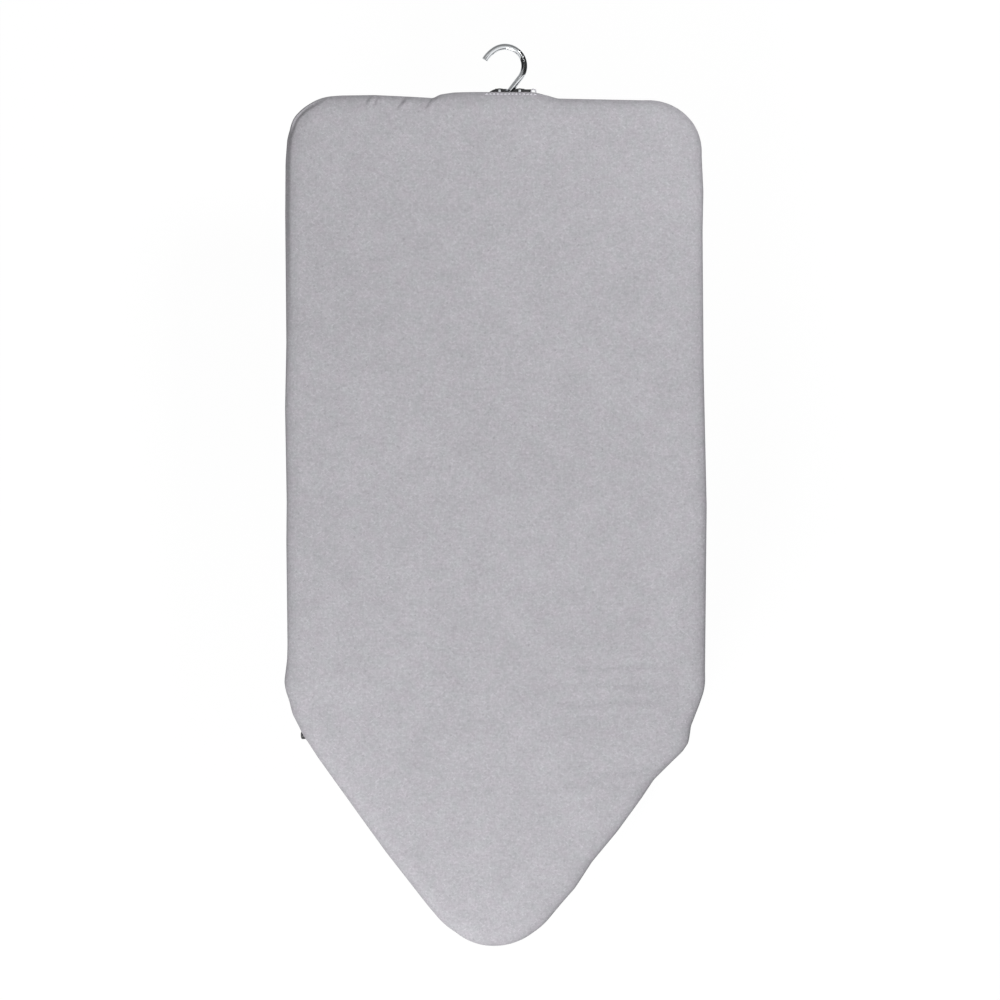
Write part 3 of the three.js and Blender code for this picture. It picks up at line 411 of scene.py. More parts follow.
# Ground and light. The softboxes face straight down: (place, power, size)
FLOOR_SIZE = 30
FLOOR_GLOW = 0.955
FLOOR_SHADE = 0.06
FLOOR_BOUNCE = 0.22
FLOOR_FILL = 0.14
AMBIENT = 0.05
LAMPS = {
    "front_softbox": ((-0.63, -1.41, 1.56), 46.0, 0.9),
    "back_softbox": ((0.67, 1.01, 1.5), 22.8, 0.5),
}

# Cards round the hook
BACK_CARD_GAP = 0.25
BACK_CARD_WIDTH = 3.0
BACK_CARD_HEIGHT = 0.72
BACK_CARD_SHADE = 0.26
SIDE_CARD_GAP = 0.04
SIDE_CARD_REACH = 0.1
SIDE_CARD_HEIGHT = 1.2
SIDE_CARD_SHADE = 0.03
LEFT_CARD_DEPTH = 0.173
LEFT_BACK_CARD_SHADE = 0.33
RAIL_FROM = math.radians(4)
RAIL_TO = math.radians(11)


# Node helpers

def feed(tree, node, inputs):
    """Links a node's inputs to sockets, or sets them to plain values."""
    for socket, value in inputs.items():
        if isinstance(value, bpy.types.NodeSocket):
            tree.links.new(value, node.inputs[socket])
        else:
            node.inputs[socket].default_value = value


def add_node(tree, kind, inputs=None, **settings):
    node = tree.nodes.new(kind)
    for key, value in settings.items():
        setattr(node, key, value)
    feed(tree, node, inputs or {})
    return node


def math_of(tree, operation, first, second):
    return add_node(tree, "ShaderNodeMath", {0: first, 1: second}, operation=operation).outputs["Value"]


class Look:
    """A surface material in shades of one slot's colour."""

    def __init__(self, name, slot, uv_map=None):
        self.material = bpy.data.materials.new(name)
        self.material.use_nodes = True
        self.tree = self.material.node_tree
        self.color = COLOR_OF[slot]
        if uv_map:
            self.place = add_node(self.tree, "ShaderNodeUVMap", uv_map=uv_map).outputs["UV"]
        else:
            self.place = add_node(self.tree, "ShaderNodeTexCoord").outputs["Object"]

    def mapped(self, place, inputs):
        return add_node(self.tree, "ShaderNodeMapping", {"Vector": place, **inputs}).outputs["Vector"]

    def noise(self, scale, detail=2.0, roughness=0.5, turn=0):
        """Noise of one scale, or of one for each axis, with the axes turned by some degrees."""
        place = self.place
        if isinstance(scale, tuple):
            turned = self.mapped(place, {"Rotation": (0, 0, math.radians(turn))})
            place = self.mapped(turned, {"Scale": scale})
            scale = 1.0
        inputs = {"Vector": place, "Scale": scale, "Detail": detail, "Roughness": roughness}
        return add_node(self.tree, "ShaderNodeTexNoise", inputs).outputs["Fac"]

    def wave(self, direction, period):
        """Slightly uneven bands. The node has 20 of them in 2 pi at a scale of one."""
        scale = 2 * math.pi / (20 * period)
        inputs = {"Vector": self.place, "Scale": scale, "Distortion": 0.4, "Detail": 1.0}
        return add_node(self.tree, "ShaderNodeTexWave", inputs, bands_direction=direction).outputs["Fac"]

    def ranged(self, value, low=0.3, high=0.7, to_low=0.0, to_high=1.0):
        """A value carried from one range, by default the one where most of a noise lies, to another."""
        inputs = {"Value": value, "From Min": low, "From Max": high, "To Min": to_low, "To Max": to_high}
        return add_node(self.tree, "ShaderNodeMapRange", inputs).outputs["Result"]

    def combined(self, operation, first, second):
        return math_of(self.tree, operation, first, second)

    def mixed(self, factor, first, second, blend="MIX"):
        inputs = {0: factor, 6: first, 7: second}
        return add_node(self.tree, "ShaderNodeMix", inputs, data_type="RGBA", blend_type=blend).outputs[2]

    def shade(self, factor):
        return (self.color[0] * factor, self.color[1] * factor, self.color[2] * factor, 1.0)

    def shades(self, factor, dark, light):
        return self.mixed(factor, self.shade(dark), self.shade(light))

    def bump(self, height, distance, strength, **normal):
        inputs = {"Height": height, "Distance": distance, "Strength": strength, **normal}
        return add_node(self.tree, "ShaderNodeBump", inputs).outputs["Normal"]

    def finished(self, inputs):
        feed(self.tree, self.tree.nodes["Principled BSDF"], inputs)
        return self.material


# Materials

def cloth_material():
    """Heathered plain weave: flecked yarns both ways, faint warm and cool patches, a fine weave."""
    look = Look("cover_cloth", "cover_cloth", CLOTH_MAP)
    weft = look.noise(WEFT_NOISE, detail=3.0, roughness=0.6)
    warp = look.noise(WARP_NOISE, detail=3.0, roughness=0.6)
    flecks = look.ranged(look.combined("ADD", weft, warp), low=0.72, high=1.28)
    rising = look.noise(RISING_NOISE, turn=RISING_TURN)
    falling = look.noise(FALLING_NOISE, turn=FALLING_TURN)
    light = look.ranged(look.combined("MAXIMUM", rising, falling), low=0.58, high=0.7)
    dark = look.ranged(look.noise(SPECK_NOISE), low=0.38, high=0.27)
    ground = look.mixed(dark, look.shades(flecks, dark=0.88, light=1.1), look.shade(0.79))
    yarns = look.mixed(light, ground, look.shade(1.19))
    tint = look.mixed(look.ranged(look.noise(PATCH_NOISE)), WARM_TINT, COOL_TINT)
    tinted = look.mixed(1.0, yarns, tint, "MULTIPLY")
    tone = 1.0
    for noise, swing in CLOTH_TONES:
        part = look.ranged(look.noise(noise), to_low=1 - swing, to_high=1 + swing)
        tone = look.combined("MULTIPLY", part, tone)
    weave = look.combined("MULTIPLY", look.wave("X", WEAVE_PITCH), look.wave("Y", WEAVE_PITCH))
    slubs = look.bump(flecks, SLUB_DEPTH, strength=0.5)
    return look.finished({
        "Base Color": look.mixed(1.0, tinted, tone, "MULTIPLY"),
        "Normal": look.bump(weave, WEAVE_DEPTH, strength=0.4, Normal=slubs),
        "Roughness": look.ranged(flecks, low=0.0, high=1.0, to_low=0.86, to_high=0.74),
        "Specular IOR Level": 0.25,
        "Sheen Weight": 0.06,
        "Sheen Roughness": 0.5,
    })


def elastic_material():
    look = Look("elastic", "elastic")
    yarns = look.noise(YARN_NOISE, detail=3.0, roughness=0.6)
    return look.finished({
        "Base Color": look.shades(yarns, dark=0.75, light=1.25),
        "Normal": look.bump(yarns, YARN_DEPTH, strength=0.6),
        "Roughness": 0.9,
    })


def felt_material():
    """Needled fibres: long soft flecks in two directions over a mottled ground."""
    look = Look("felt", "felt")
    along = look.noise(FIBRE_ALONG_NOISE, detail=4.0, roughness=0.65)
    across = look.noise(FIBRE_ACROSS_NOISE, detail=4.0, roughness=0.65)
    fibres = look.combined("MAXIMUM", along, across)
    ground = look.shades(look.noise(FELT_MOTTLE_NOISE, detail=3.0), dark=0.82, light=1.1)
    return look.finished({
        "Base Color": look.mixed(look.ranged(fibres, low=0.5, high=0.75), ground, look.shade(1.25)),
        "Normal": look.bump(fibres, FIBRE_DEPTH, strength=0.7),
        "Roughness": 0.95,
        "Sheen Weight": 0.2,
    })


def coated_material(slot, roughness, peel, metallic=0.0):
    """Powder coat or paint: orange peel, a slight mottle and a few rubbed places."""
    look = Look(slot, slot)
    mottle = look.noise(COAT_MOTTLE_NOISE, detail=3.0)
    scuffs = look.noise(SCUFF_NOISE, detail=5.0, roughness=0.7)
    rubbed = look.ranged(scuffs, low=0.66, high=0.74, to_high=0.35)
    return look.finished({
        "Base Color": look.mixed(rubbed, look.shades(mottle, dark=0.92, light=1.06), look.shade(1.35)),
        "Roughness": look.ranged(mottle, to_low=roughness - GLOSSIER, to_high=roughness + DULLER),
        "Normal": look.bump(look.noise(PEEL_NOISE), peel, strength=0.35),
        "Metallic": metallic,
    })


def plated_material(slot, roughness, grain):
    """Bright plate on steel, with fine drawn lines."""
    look = Look(slot, slot)
    lines = look.noise(DRAWN_NOISE, detail=3.0, roughness=0.6)
    return look.finished({
        "Base Color": look.shades(look.noise(CLOUD_NOISE, detail=3.0), dark=0.9, light=1.08),
        "Roughness": look.ranged(lines, to_low=roughness * 0.75, to_high=roughness * 1.3),
        "Normal": look.bump(lines, grain, strength=0.25),
        "Metallic": 1.0,
    })


def moulded_material(slot, roughness, grain_noise, grain):
    """Moulded black plastic or rubber with a fine grain and dusty, dulled patches."""
    look = Look(slot, slot)
    dust = look.ranged(look.noise(DUST_NOISE, detail=4.0, roughness=0.6), low=0.45, high=0.75)
    dulled = {"low": 0.0, "high": 1.0, "to_low": roughness - GLOSSIER, "to_high": roughness + DULLER}
    return look.finished({
        "Base Color": look.shades(dust, dark=0.85, light=1.7),
        "Roughness": look.ranged(dust, **dulled),
        "Normal": look.bump(look.noise(grain_noise, detail=3.0, roughness=0.6), grain, strength=0.4),
        "Specular IOR Level": 0.4,
    })


def thread_material():
    look = Look("thread", "cover_cloth")
    twist = look.noise(TWIST_NOISE)
    return look.finished({
        "Base Color": look.shades(twist, dark=1.5, light=2.0),
        "Normal": look.bump(twist, TWIST_DEPTH, strength=0.5),
        "Roughness": 0.7,
    })


MATERIALS = {
    "cover_cloth": cloth_material(),
    "elastic": elastic_material(),
    "felt": felt_material(),
    "panel_steel": coated_material("panel_steel", 0.48, 0.06 * MM),
    "leg_steel": coated_material("leg_steel", 0.36, 0.04 * MM, 0.55),
    "zinc_steel": plated_material("zinc_steel", 0.3, 0.02 * MM),
    "chrome": plated_material("chrome", 0.07, 0.002 * MM),
    "black_steel": coated_material("black_steel", 0.42, 0.05 * MM),
    "nylon": moulded_material("nylon", 0.5, NYLON_NOISE, 0.04 * MM),
    "rubber": moulded_material("rubber", 0.8, RUBBER_NOISE, 0.06 * MM),
    "thread": thread_material(),
}


# Mesh helpers

def placed(name, data):
    """An object in the scene."""
    thing = bpy.data.objects.new(name, data)
    bpy.context.scene.collection.objects.link(thing)
    return thing


def make_piece(name, vertices, faces, material):
    mesh = bpy.data.meshes.new(name)
    mesh.from_pydata([tuple(vertex) for vertex in vertices], [], faces)
    mesh.materials.append(material)
    return placed(name, mesh)


def face_outwards(piece):
    work = bmesh.new()
    work.from_mesh(piece.data)
    bmesh.ops.recalc_face_normals(work, faces=work.faces)
    work.to_mesh(piece.data)
    work.free()


def smooth(piece, angle=SHARP_ANGLE):
    piece.data.shade_smooth()
    piece.data.set_sharp_from_angle(angle=angle)


def thicken(piece, thickness, offset):
    modifier = piece.modifiers.new("thickness", "SOLIDIFY")
    modifier.thickness = thickness
    modifier.offset = offset


def dress(piece, node):
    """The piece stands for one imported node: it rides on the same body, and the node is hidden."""
    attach(piece, BODY_OF[node])
    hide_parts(node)
    return piece


def solid_piece(node, rings, closed=False):
    """A closed skin over rings of equally many points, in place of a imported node."""
    vertices, faces = loft(rings, closed)
    piece = make_piece(node + "_shape", vertices, faces, MATERIALS[SLOT_OF[node]])
    face_outwards(piece)
    smooth(piece)
    return dress(piece, node)


def ring_faces(count, around, closed=False, flipped=False):
    """Quads between each of some rings of points and the next, and from the last to the first if closed."""
    faces = []
    for ring in range(count if closed else count - 1):
        low = ring * around
        high = (ring + 1) % count * around
        for i in range(around):
            j = (i + 1) % around
            face = (low + i, low + j, high + j, high + i)
            faces.append((face[0], *face[:0:-1]) if flipped else face)
    return faces


def shifted(faces, shift):
    return [tuple(corner + shift for corner in face) for face in faces]


def loft(rings, closed):
    around = len(rings[0])
    vertices = [point for ring in rings for point in ring]
    faces = ring_faces(len(rings), around, closed)
    if not closed:
        faces.append(tuple(range(around)))
        faces.append(tuple(range(len(vertices) - around, len(vertices))))
    return vertices, faces


def angles_to(turn, steps):
    return [turn * step / steps for step in range(steps + 1)]


def shares_to_one(steps):
    """Even shares of a way, from the first step to the whole."""
    return [step / steps for step in range(1, steps + 1)]


def ring_round(centre, radius, across, other, sides):
    ring = []
    for angle in angles_to(2 * math.pi, sides)[:-1]:
        ring.append(centre + radius * (math.cos(angle) * across + math.sin(angle) * other))
    return ring


def lathe_rings(profile, origin, axis, sides=ROUND_SIDES):
    """Rings round an axis: each profile entry is a distance along the axis and a radius."""
    across = axis.orthogonal().normalized()
    other = axis.cross(across)
    return [ring_round(origin + along * axis, radius, across, other, sides) for along, radius in profile]


def tube_rings(stations, normal, sides):
    """Rings along a flat path: each station is a point, the way the path runs and a radius."""
    rings = []
    for point, along, radius in stations:
        rings.append(ring_round(point, radius, along.cross(normal).normalized(), normal, sides))
    return rings


def heading(angle):
    return Vector((math.cos(angle), math.sin(angle)))


def arc_stations(centre, radius, start, stop, steps):
    """Plan points on an arc and the outward direction at each, both ends included."""
    outwards = [heading(start + turn) for turn in angles_to(stop - start, steps)]
    return [(centre + radius * outward, outward) for outward in outwards]


def arc_path(centre, radius, start, stop, steps):
    """Plan points on an arc and the way a path along it runs there."""
    turn = math.copysign(1.0, stop - start)
    stations = arc_stations(centre, radius, start, stop, steps)
    return [(point, turn * Vector((-outward.y, outward.x))) for point, outward in stations]


# Outline

def fine_arc(centre, radius, start, stop, step):
    steps = max(2, math.ceil(radius * abs(stop - start) / step))
    return arc_stations(centre, radius, start, stop, steps)


def edge_stations(start, stop, step):
    count = max(1, round((stop[0] - start[0]).length / step))
    return [(start[0].lerp(stop[0], i / count), start[1]) for i in range(1, count)]


def rounded_corner(corner, radius, start, stop, step):
    depth = radius / math.cos((stop - start) / 2)
    centre = corner - depth * heading((start + stop) / 2)
    return fine_arc(centre, radius, start, stop, step)


def half_outline(nose_x, corner_radius, step):
    """The right half of an outline, from the nose to the middle of the square end."""
    nose_centre = Vector((nose_x, NOSE_Y + NOSE_RADIUS))
    taper = Vector((HALF_WIDTH - TAPER_SETBACK, NOSE_Y + TAPER_FROM_NOSE))
    shoulder = Vector((HALF_WIDTH, NOSE_Y + SHOULDER_FROM_NOSE))
    to_taper = taper - nose_centre
    taper_angle = math.atan2(to_taper.y, to_taper.x) - math.acos(NOSE_RADIUS / to_taper.length)
    to_shoulder = shoulder - taper
    shoulder_angle = math.atan2(to_shoulder.y, to_shoulder.x) - QUARTER
    nose = fine_arc(nose_centre, NOSE_RADIUS, -QUARTER, taper_angle, step)
    lower = rounded_corner(taper, SHOULDER_RADIUS, taper_angle, shoulder_angle, step)
    upper = rounded_corner(shoulder, SHOULDER_RADIUS, shoulder_angle, 0, step)
    corner = rounded_corner(Vector((HALF_WIDTH, END_Y)), corner_radius, 0, QUARTER, step)
    middle = (Vector((0, END_Y)), Vector((0, 1)))
    return [
        *nose, *edge_stations(nose[-1], lower[0], step),
        *lower, *edge_stations(lower[-1], upper[0], step),
        *upper, *edge_stations(upper[-1], corner[0], step),
        *corner, *edge_stations(corner[-1], middle, step), middle,
    ]


def even_outline(step):
    """Points of the outline and the outward direction at each, counter-clockwise from the nose."""
    right = half_outline(NOSE_OFFSET, RIGHT_CORNER_RADIUS, step)
    left = half_outline(-NOSE_OFFSET, LEFT_CORNER_RADIUS, step)[1:-1]
    mirror = Vector((-1, 1))
    stations = right + [(point * mirror, outward * mirror) for point, outward in reversed(left)]
    points = np.array([point for point, outward in stations])
    outwards = np.array([outward for point, outward in stations])
    return points, outwards


def push_of(points, outwards):
    """How far the edge departs from the even outline at each station."""
    x, y = points[:, 0] / MM, points[:, 1] / MM
    end = np.interp(x, *zip(*END_PUSH))
    sides = np.where(x < 0, np.interp(y, *zip(*LEFT_PUSH)), np.interp(y, *zip(*RIGHT_PUSH)))
    facing_end = np.clip(outwards[:, 1], 0, 1) ** 2
    push = (facing_end * end + (1 - facing_end) * sides) * MM
    distances, whole = lengths_along(points)
    return blurred(push, distances, whole, PUSH_BLUR)


def board_outline(step):
    """The even outline drawn in where the board is narrower, and how far the cloth bulges from it."""
    points, outwards = even_outline(step)
    push = push_of(points, outwards)
    return points + np.minimum(push, 0)[:, None] * outwards, outwards, np.maximum(push, 0)


def near_end_middle(outline, middle, reach):
    """Which stations lie at the square end within a reach of some X."""
    points, outwards, bulge = outline
    return (outwards[:, 1] > FACES_END) & (np.abs(points[:, 0] - middle) < reach)


def round_bracket(outline, gap):
    """Numbers of the stations from one side of the hook bracket round to the other."""
    at_bracket = near_end_middle(outline, 0, gap)
    order = (np.argmax(at_bracket) + np.arange(len(at_bracket))) % len(at_bracket)
    return order[~at_bracket[order]]


def ring_at(outline, inset, height):
    points, outwards, bulge = outline
    plan = points - inset * outwards
    return np.column_stack([plan, np.full(len(plan), height)])


def lengths_along(points):
    """Distance along a closed row of points at each point, and the whole length."""
    steps = np.linalg.norm(np.roll(points, -1, axis=0) - points, axis=1)
    return np.concatenate([[0], np.cumsum(steps)[:-1]]), steps.sum()


def smoothstep(value, low, high):
    share = np.clip((value - low) / (high - low), 0, 1)
    return share * share * (3 - 2 * share)


def blurred(values, distances, whole, reach):
    """Values along a closed row, each averaged over its neighbours within about the reach."""
    apart = np.abs(distances[:, None] - distances[None, :])
    apart = np.minimum(apart, whole - apart)
    weight = np.exp(-(apart / reach) ** 2)
    return weight @ values / weight.sum(axis=1)


def lines_across(ring, spacing):
    """Evenly spaced lines along X across a ring: number, Y and where the ring crosses, left to right."""
    after = np.roll(ring, -1, axis=0)
    first = math.ceil(ring[:, 1].min() / spacing)
    last = math.floor(ring[:, 1].max() / spacing)
    for number in range(first, last + 1):
        y = number * spacing
        crossing = (ring[:, 1] > y) != (after[:, 1] > y)
        if not crossing.any():
            continue
        start, run = ring[crossing], (after - ring)[crossing]
        yield number, y, np.sort(start[:, 0] + run[:, 0] * (y - start[:, 1]) / run[:, 1])


def filled(ring, spacing):
    """Plan points inside a ring, on a square grid, with the triangles that fill the ring."""
    margin = GRID_MARGIN * spacing
    inside = []
    for number, y, crossings in lines_across(ring, spacing):
        for left, right in zip(crossings[::2], crossings[1::2]):
            first = math.ceil((left + margin) / spacing)
            last = math.floor((right - margin) / spacing)
            inside += [(column * spacing, y) for column in range(first, last + 1)]
    edge = kdtree.KDTree(len(ring))
    for number, (x, y) in enumerate(ring):
        edge.insert((x, y, 0), number)
    edge.balance()
    grid = np.array([place for place in inside if edge.find((*place, 0))[2] > margin])
    flat = [Vector(point) for point in np.vstack([ring, grid])]
    found = geometry.delaunay_2d_cdt(flat, [], [list(range(len(ring)))], FILL_INSIDE, FILL_TOUCH)
    source = [origins[0] for origins in found[3]]
    triangles = [tuple(source[corner] for corner in face) for face in found[2]]
    return grid, triangles


# Cover

def cover_profile():
    """Rows of the cover from its flat top to the end of the rolled hem: inset and height."""
    wrap_inset = RIM_INSET - WRAP_RADIUS
    hem_z = RIM_Z - WRAP_RADIUS
    roll_inset = HEM_INSET - CASING_RADIUS
    rows = [(inset, TOP_Z) for inset in np.linspace(FLAT_DEPTH, EDGE_REACH, FLAT_STEPS, endpoint=False)]
    for angle in angles_to(QUARTER, EDGE_STEPS):
        rows.append((EDGE_REACH * (1 - math.sin(angle)), TOP_Z - EDGE_DROP * (1 - math.cos(angle))))
    for share in shares_to_one(SKIRT_STEPS)[:-1]:
        rows.append((wrap_inset * share ** 2, TOP_Z - EDGE_DROP + (RIM_Z - TOP_Z + EDGE_DROP) * share))
    for angle in angles_to(QUARTER, WRAP_STEPS):
        rows.append((RIM_INSET - WRAP_RADIUS * math.cos(angle), RIM_Z - WRAP_RADIUS * math.sin(angle)))
    for share in shares_to_one(HEM_STEPS):
        rows.append((RIM_INSET + (SEAM_INSET - RIM_INSET) * share, hem_z))
    for share in shares_to_one(HEM_STEPS)[:-1]:
        rows.append((SEAM_INSET + (roll_inset - SEAM_INSET) * share, hem_z))
    for angle in angles_to(math.pi, CASING_STEPS):
        rise = CASING_RADIUS * (1 - math.cos(angle))
        rows.append((roll_inset + CASING_RADIUS * math.sin(angle), hem_z + rise))
    for share in shares_to_one(HEM_STEPS):
        inset = roll_inset + (SEAM_INSET - roll_inset) * share
        rows.append((inset, hem_z + 2 * CASING_RADIUS - CASING_END_DROP * share ** 3))
    return rows


def gather_of(outline):
    """Strength of the hem's gathers at each station: strong round the corners and the nose, slight
    along the sides and next to the leg pivots."""
    points, outwards, bulge = outline
    distances, whole = lengths_along(points)
    turn = np.linalg.norm(np.roll(outwards, -1, axis=0) - outwards, axis=1)
    bent = np.where(turn > STRAIGHT_TURN, CORNER_GATHER, SIDE_GATHER)
    strength = blurred(bent, distances, whole, GATHER_BLUR)
    for pivot in (FRONT_PIVOT, REAR_PIVOT):
        near = 1 - smoothstep(np.abs(points[:, 1] - pivot.y), PIVOT_NEAR, PIVOT_FAR)
        strength *= 1 - (1 - PIVOT_GATHER) * near
    return strength


def gather_wave(outline):
    distances, whole = lengths_along(outline[0])
    drift = GATHER_DRIFT * np.sin(distances / GATHER_DRIFT_LENGTH)
    first = np.sin(2 * math.pi * distances / GATHER_LENGTH + drift)
    second = np.sin(2 * math.pi * distances / GATHER_OTHER_LENGTH + GATHER_OTHER_PHASE)
    return GATHER_SHARE * first + GATHER_OTHER_SHARE * second


def hem_lift(outline, inset):
    """How far the gathers lift the hem at an inset: nothing at the rim, most at the hem's edge."""
    share = smoothstep(inset, RIM_INSET, HEM_INSET)
    return share * gather_of(outline) * (GATHER_MEAN + GATHER_SWING * gather_wave(outline))


def top_relief(x, y):
    """Height of the crown, the slight unevenness and the wrinkles over the flat top."""
    along = (y - NOSE_Y) / (END_Y - NOSE_Y)
    across = x / HALF_WIDTH
    relief = CROWN * np.clip(1 - across ** 2, 0, 1) * np.clip(4 * along * (1 - along), 0, 1)
    drift = UNEVEN_DRIFT * np.sin(y / UNEVEN_DRIFT_Y)
    relief += UNEVEN_HEIGHT * np.sin(x / UNEVEN_X + drift) * np.sin(y / UNEVEN_Y + UNEVEN_PHASE)
    for x_from, x_to, y_halfway, slope, height, half_width in WRINKLES:
        start, stop = x_from * MM, x_to * MM
        line = y_halfway * MM + slope * (x - (start + stop) / 2)
        sway = WRINKLE_SWAY * np.sin(x / WRINKLE_SWAY_X + y_halfway)
        window = smoothstep(x, start, start + WRINKLE_END) * (1 - smoothstep(x, stop - WRINKLE_END, stop))
        relief += height * MM * window * np.exp(-((y - line - sway) / (half_width * MM)) ** 2)
    return relief


def crease_relief(x, y):
    """Each crease is a shallow groove with a flap of cloth that rises on its right."""
    relief = np.zeros_like(x)
    for from_x, from_y, to_x, to_y, height, half_width in CREASES:
        start = np.array((from_x, from_y)) * MM
        run = np.array((to_x, to_y)) * MM - start
        length = np.linalg.norm(run)
        run /= length
        away_x, away_y = x - start[0], y - start[1]
        along = (away_x * run[0] + away_y * run[1]) / length
        across = (away_y * run[0] - away_x * run[1]) / (half_width * MM)
        fade = smoothstep(along, *CREASE_FADE_IN) * (1 - smoothstep(along, *CREASE_FADE_OUT))
        flap = np.exp(-(np.clip(across, 0, None) / CREASE_FLAP_REACH) ** 2)
        flap *= height * MM * smoothstep(across, *CREASE_FLAP_RISE)
        relief += fade * (flap - CREASE_GROOVE * np.exp(-(across - CREASE_GROOVE_AT) ** 2))
    return relief


def pleat_depth(outline, inset, drop):
    """How far the cloth steps down along the pleat, by the ring's inset."""
    points, outwards, bulge = outline
    angles = np.arctan2(outwards[:, 1], outwards[:, 0]) % (2 * math.pi)
    on_side = smoothstep(angles, PLEAT_FROM, PLEAT_FULL)
    slope = PLEAT_DEPTH * (1 - smoothstep(inset, PLEAT_OUTER_INSET, PLEAT_INNER_INSET))
    slope *= 1 - smoothstep(drop, EDGE_DROP, PLEAT_END_DROP)
    ledge = LEDGE_DEPTH * (1 - smoothstep(inset, LEDGE_OUTER_INSET, LEDGE_INNER_INSET))
    ledge *= smoothstep(inset, 0, LEDGE_OUTER_INSET) * (drop < EDGE_DROP)
    on_corner = smoothstep(angles, LEDGE_FROM, LEDGE_FULL)
    window = smoothstep(points[:, 1], PLEAT_END_Y, PLEAT_FULL_Y) * (angles < PLEAT_LAST)
    return window * (on_side * slope + (1 - on_side) * on_corner * ledge)


def cover_rows(outline):
    """The cover's rings as one array: row, station, coordinate."""
    points, outwards, bulge = outline
    strength = gather_of(outline) / CORNER_GATHER
    wave = gather_wave(outline)
    rows = []
    for index, (inset, height) in enumerate(cover_profile()):
        before_hem = index < HEM_ROW
        share = 1 - smoothstep(inset, 0, FLAT_DEPTH if before_hem else HEM_INSET)
        drop = TOP_Z - height
        skirt = smoothstep(drop, EDGE_DROP, PUCKER_FULL_DROP)
        skirt *= 1 - smoothstep(drop, PUCKER_FADE_DROP, PUCKER_END_DROP)
        pucker = PUCKER_DEPTH * skirt * strength * (1 - wave) / 2
        lift = -pleat_depth(outline, inset, drop) if before_hem else hem_lift(outline, inset)
        plan = points + (share * bulge - inset - pucker)[:, None] * outwards
        rows.append(np.column_stack([plan, height + lift]))
    return np.array(rows)


def cut_rows(outline, rows):
    """The rows to be settled as the cloth was cut: the wrap stops early and the hem runs on straight."""
    points, outwards, bulge = outline
    cut = rows.copy()
    profile = np.array(cover_profile())
    arc = WRAP_RADIUS * SETTLE_CUT_ANGLE
    run = 0.0
    for row in range(WRAP_ROW + 1, SETTLE_LAST_ROW + 1):
        run += np.linalg.norm(profile[row] - profile[row - 1])
        if row < SETTLE_FIRST_ROW:
            continue
        angle = min(run, arc) / WRAP_RADIUS
        ahead = max(run - arc, 0)
        inset = RIM_INSET - WRAP_RADIUS * math.cos(angle) + ahead * math.sin(angle)
        drop = WRAP_RADIUS * math.sin(angle) + ahead * math.cos(angle)
        net_row = row - SETTLE_FIRST_ROW
        cut[net_row, :, :2] = rows[net_row, :, :2] + (profile[row][0] - inset) * outwards
        cut[net_row, :, 2] = profile[WRAP_ROW][1] - drop
    return cut


def hem_net(outline, rows):
    """A net of cloth in its cut shape, with pins that draw it to where the rows lie."""
    count, stations = rows.shape[:2]
    cut = cut_rows(outline, rows).reshape(-1, 3)
    net = make_piece("hem_net", cut, ring_faces(count, stations, flipped=True), MATERIALS["cover_cloth"])
    net.shape_key_add(name="cut")
    lying = net.shape_key_add(name="lying")
    lying.data.foreach_set("co", rows.astype(np.float32).ravel())
    for number, share in ((1, 0.0), (SETTLE_DRAWN_FRAME, 1.0)):
        lying.value = share
        lying.keyframe_insert("value", frame=number)
    held = net.vertex_groups.new(name="held")
    held.add(list(range(SETTLE_HELD_ROWS * stations)), 1.0, "REPLACE")
    held.add(list(range((count - 1) * stations, count * stations, SETTLE_PIN_STEP)), 1.0, "REPLACE")
    cloth = net.modifiers.new("hem_cloth", "CLOTH")
    cloth.point_cache.frame_end = SETTLE_FRAMES
    cloth.collision_settings.use_collision = False
    for key, value in SETTLE_CLOTH.items():
        setattr(cloth.settings, key, value)
    cloth.settings.vertex_group_mass = held.name
    cloth.settings.effector_weights.gravity = 0
    return net


def settled_hem():
    """Settles the hem as cloth on a coarser net of stations. Gives each station's share of the way round
    and how far each of its points moved."""
    outline = board_outline(SETTLE_STEP)
    distances, whole = lengths_along(outline[0])
    rows = cover_rows(outline)[SETTLE_FIRST_ROW:SETTLE_LAST_ROW + 1]
    net = hem_net(outline, rows)
    scene = bpy.context.scene
    for number in range(1, SETTLE_FRAMES + 1):
        scene.frame_set(number)
    places = np.empty(rows.size, dtype=np.float32)
    found = net.evaluated_get(bpy.context.evaluated_depsgraph_get())
    found.data.vertices.foreach_get("co", places)
    scene.frame_set(1)
    bpy.data.objects.remove(net)
    moves = places.reshape(rows.shape) - rows
    far = np.linalg.norm(moves, axis=2, keepdims=True)
    return distances / whole, moves * (np.minimum(far, SETTLE_CAP) / np.maximum(far, TINY))


def settled_move(outline, settled, row):
    """How far the settling moved one of the rows, at each station of an outline."""
    places, moves = settled
    distances, whole = lengths_along(outline[0])
    moved = moves[min(max(row, SETTLE_FIRST_ROW), SETTLE_LAST_ROW) - SETTLE_FIRST_ROW]
    return np.column_stack([np.interp(distances / whole, places, way, period=1) for way in moved.T])


def settle_rows(outline, rows, settled):
    """Moves the rows of the hem as it settled. The rolled casing follows the edge that it is rolled from."""
    turned = SETTLE_LAST_ROW + CASING_STEPS
    for row in range(SETTLE_FIRST_ROW, len(rows)):
        move = settled_move(outline, settled, row)
        if row > turned:
            share = (row - turned) / HEM_STEPS
            move = (1 - share) * move + share * settled_move(outline, settled, SEAM_ROW)
        rows[row] += move


def cover_flat_places(outline):
    """Where each point of the rings lay on the flat cloth, for the weave."""
    points, outwards, bulge = outline
    steps = np.linalg.norm(np.diff(np.array(cover_profile()), axis=0), axis=1)
    spread = np.concatenate([[0], np.cumsum(steps)]) - FLAT_DEPTH
    return points[None, :, :] + spread[:, None, None] * outwards[None, :, :]


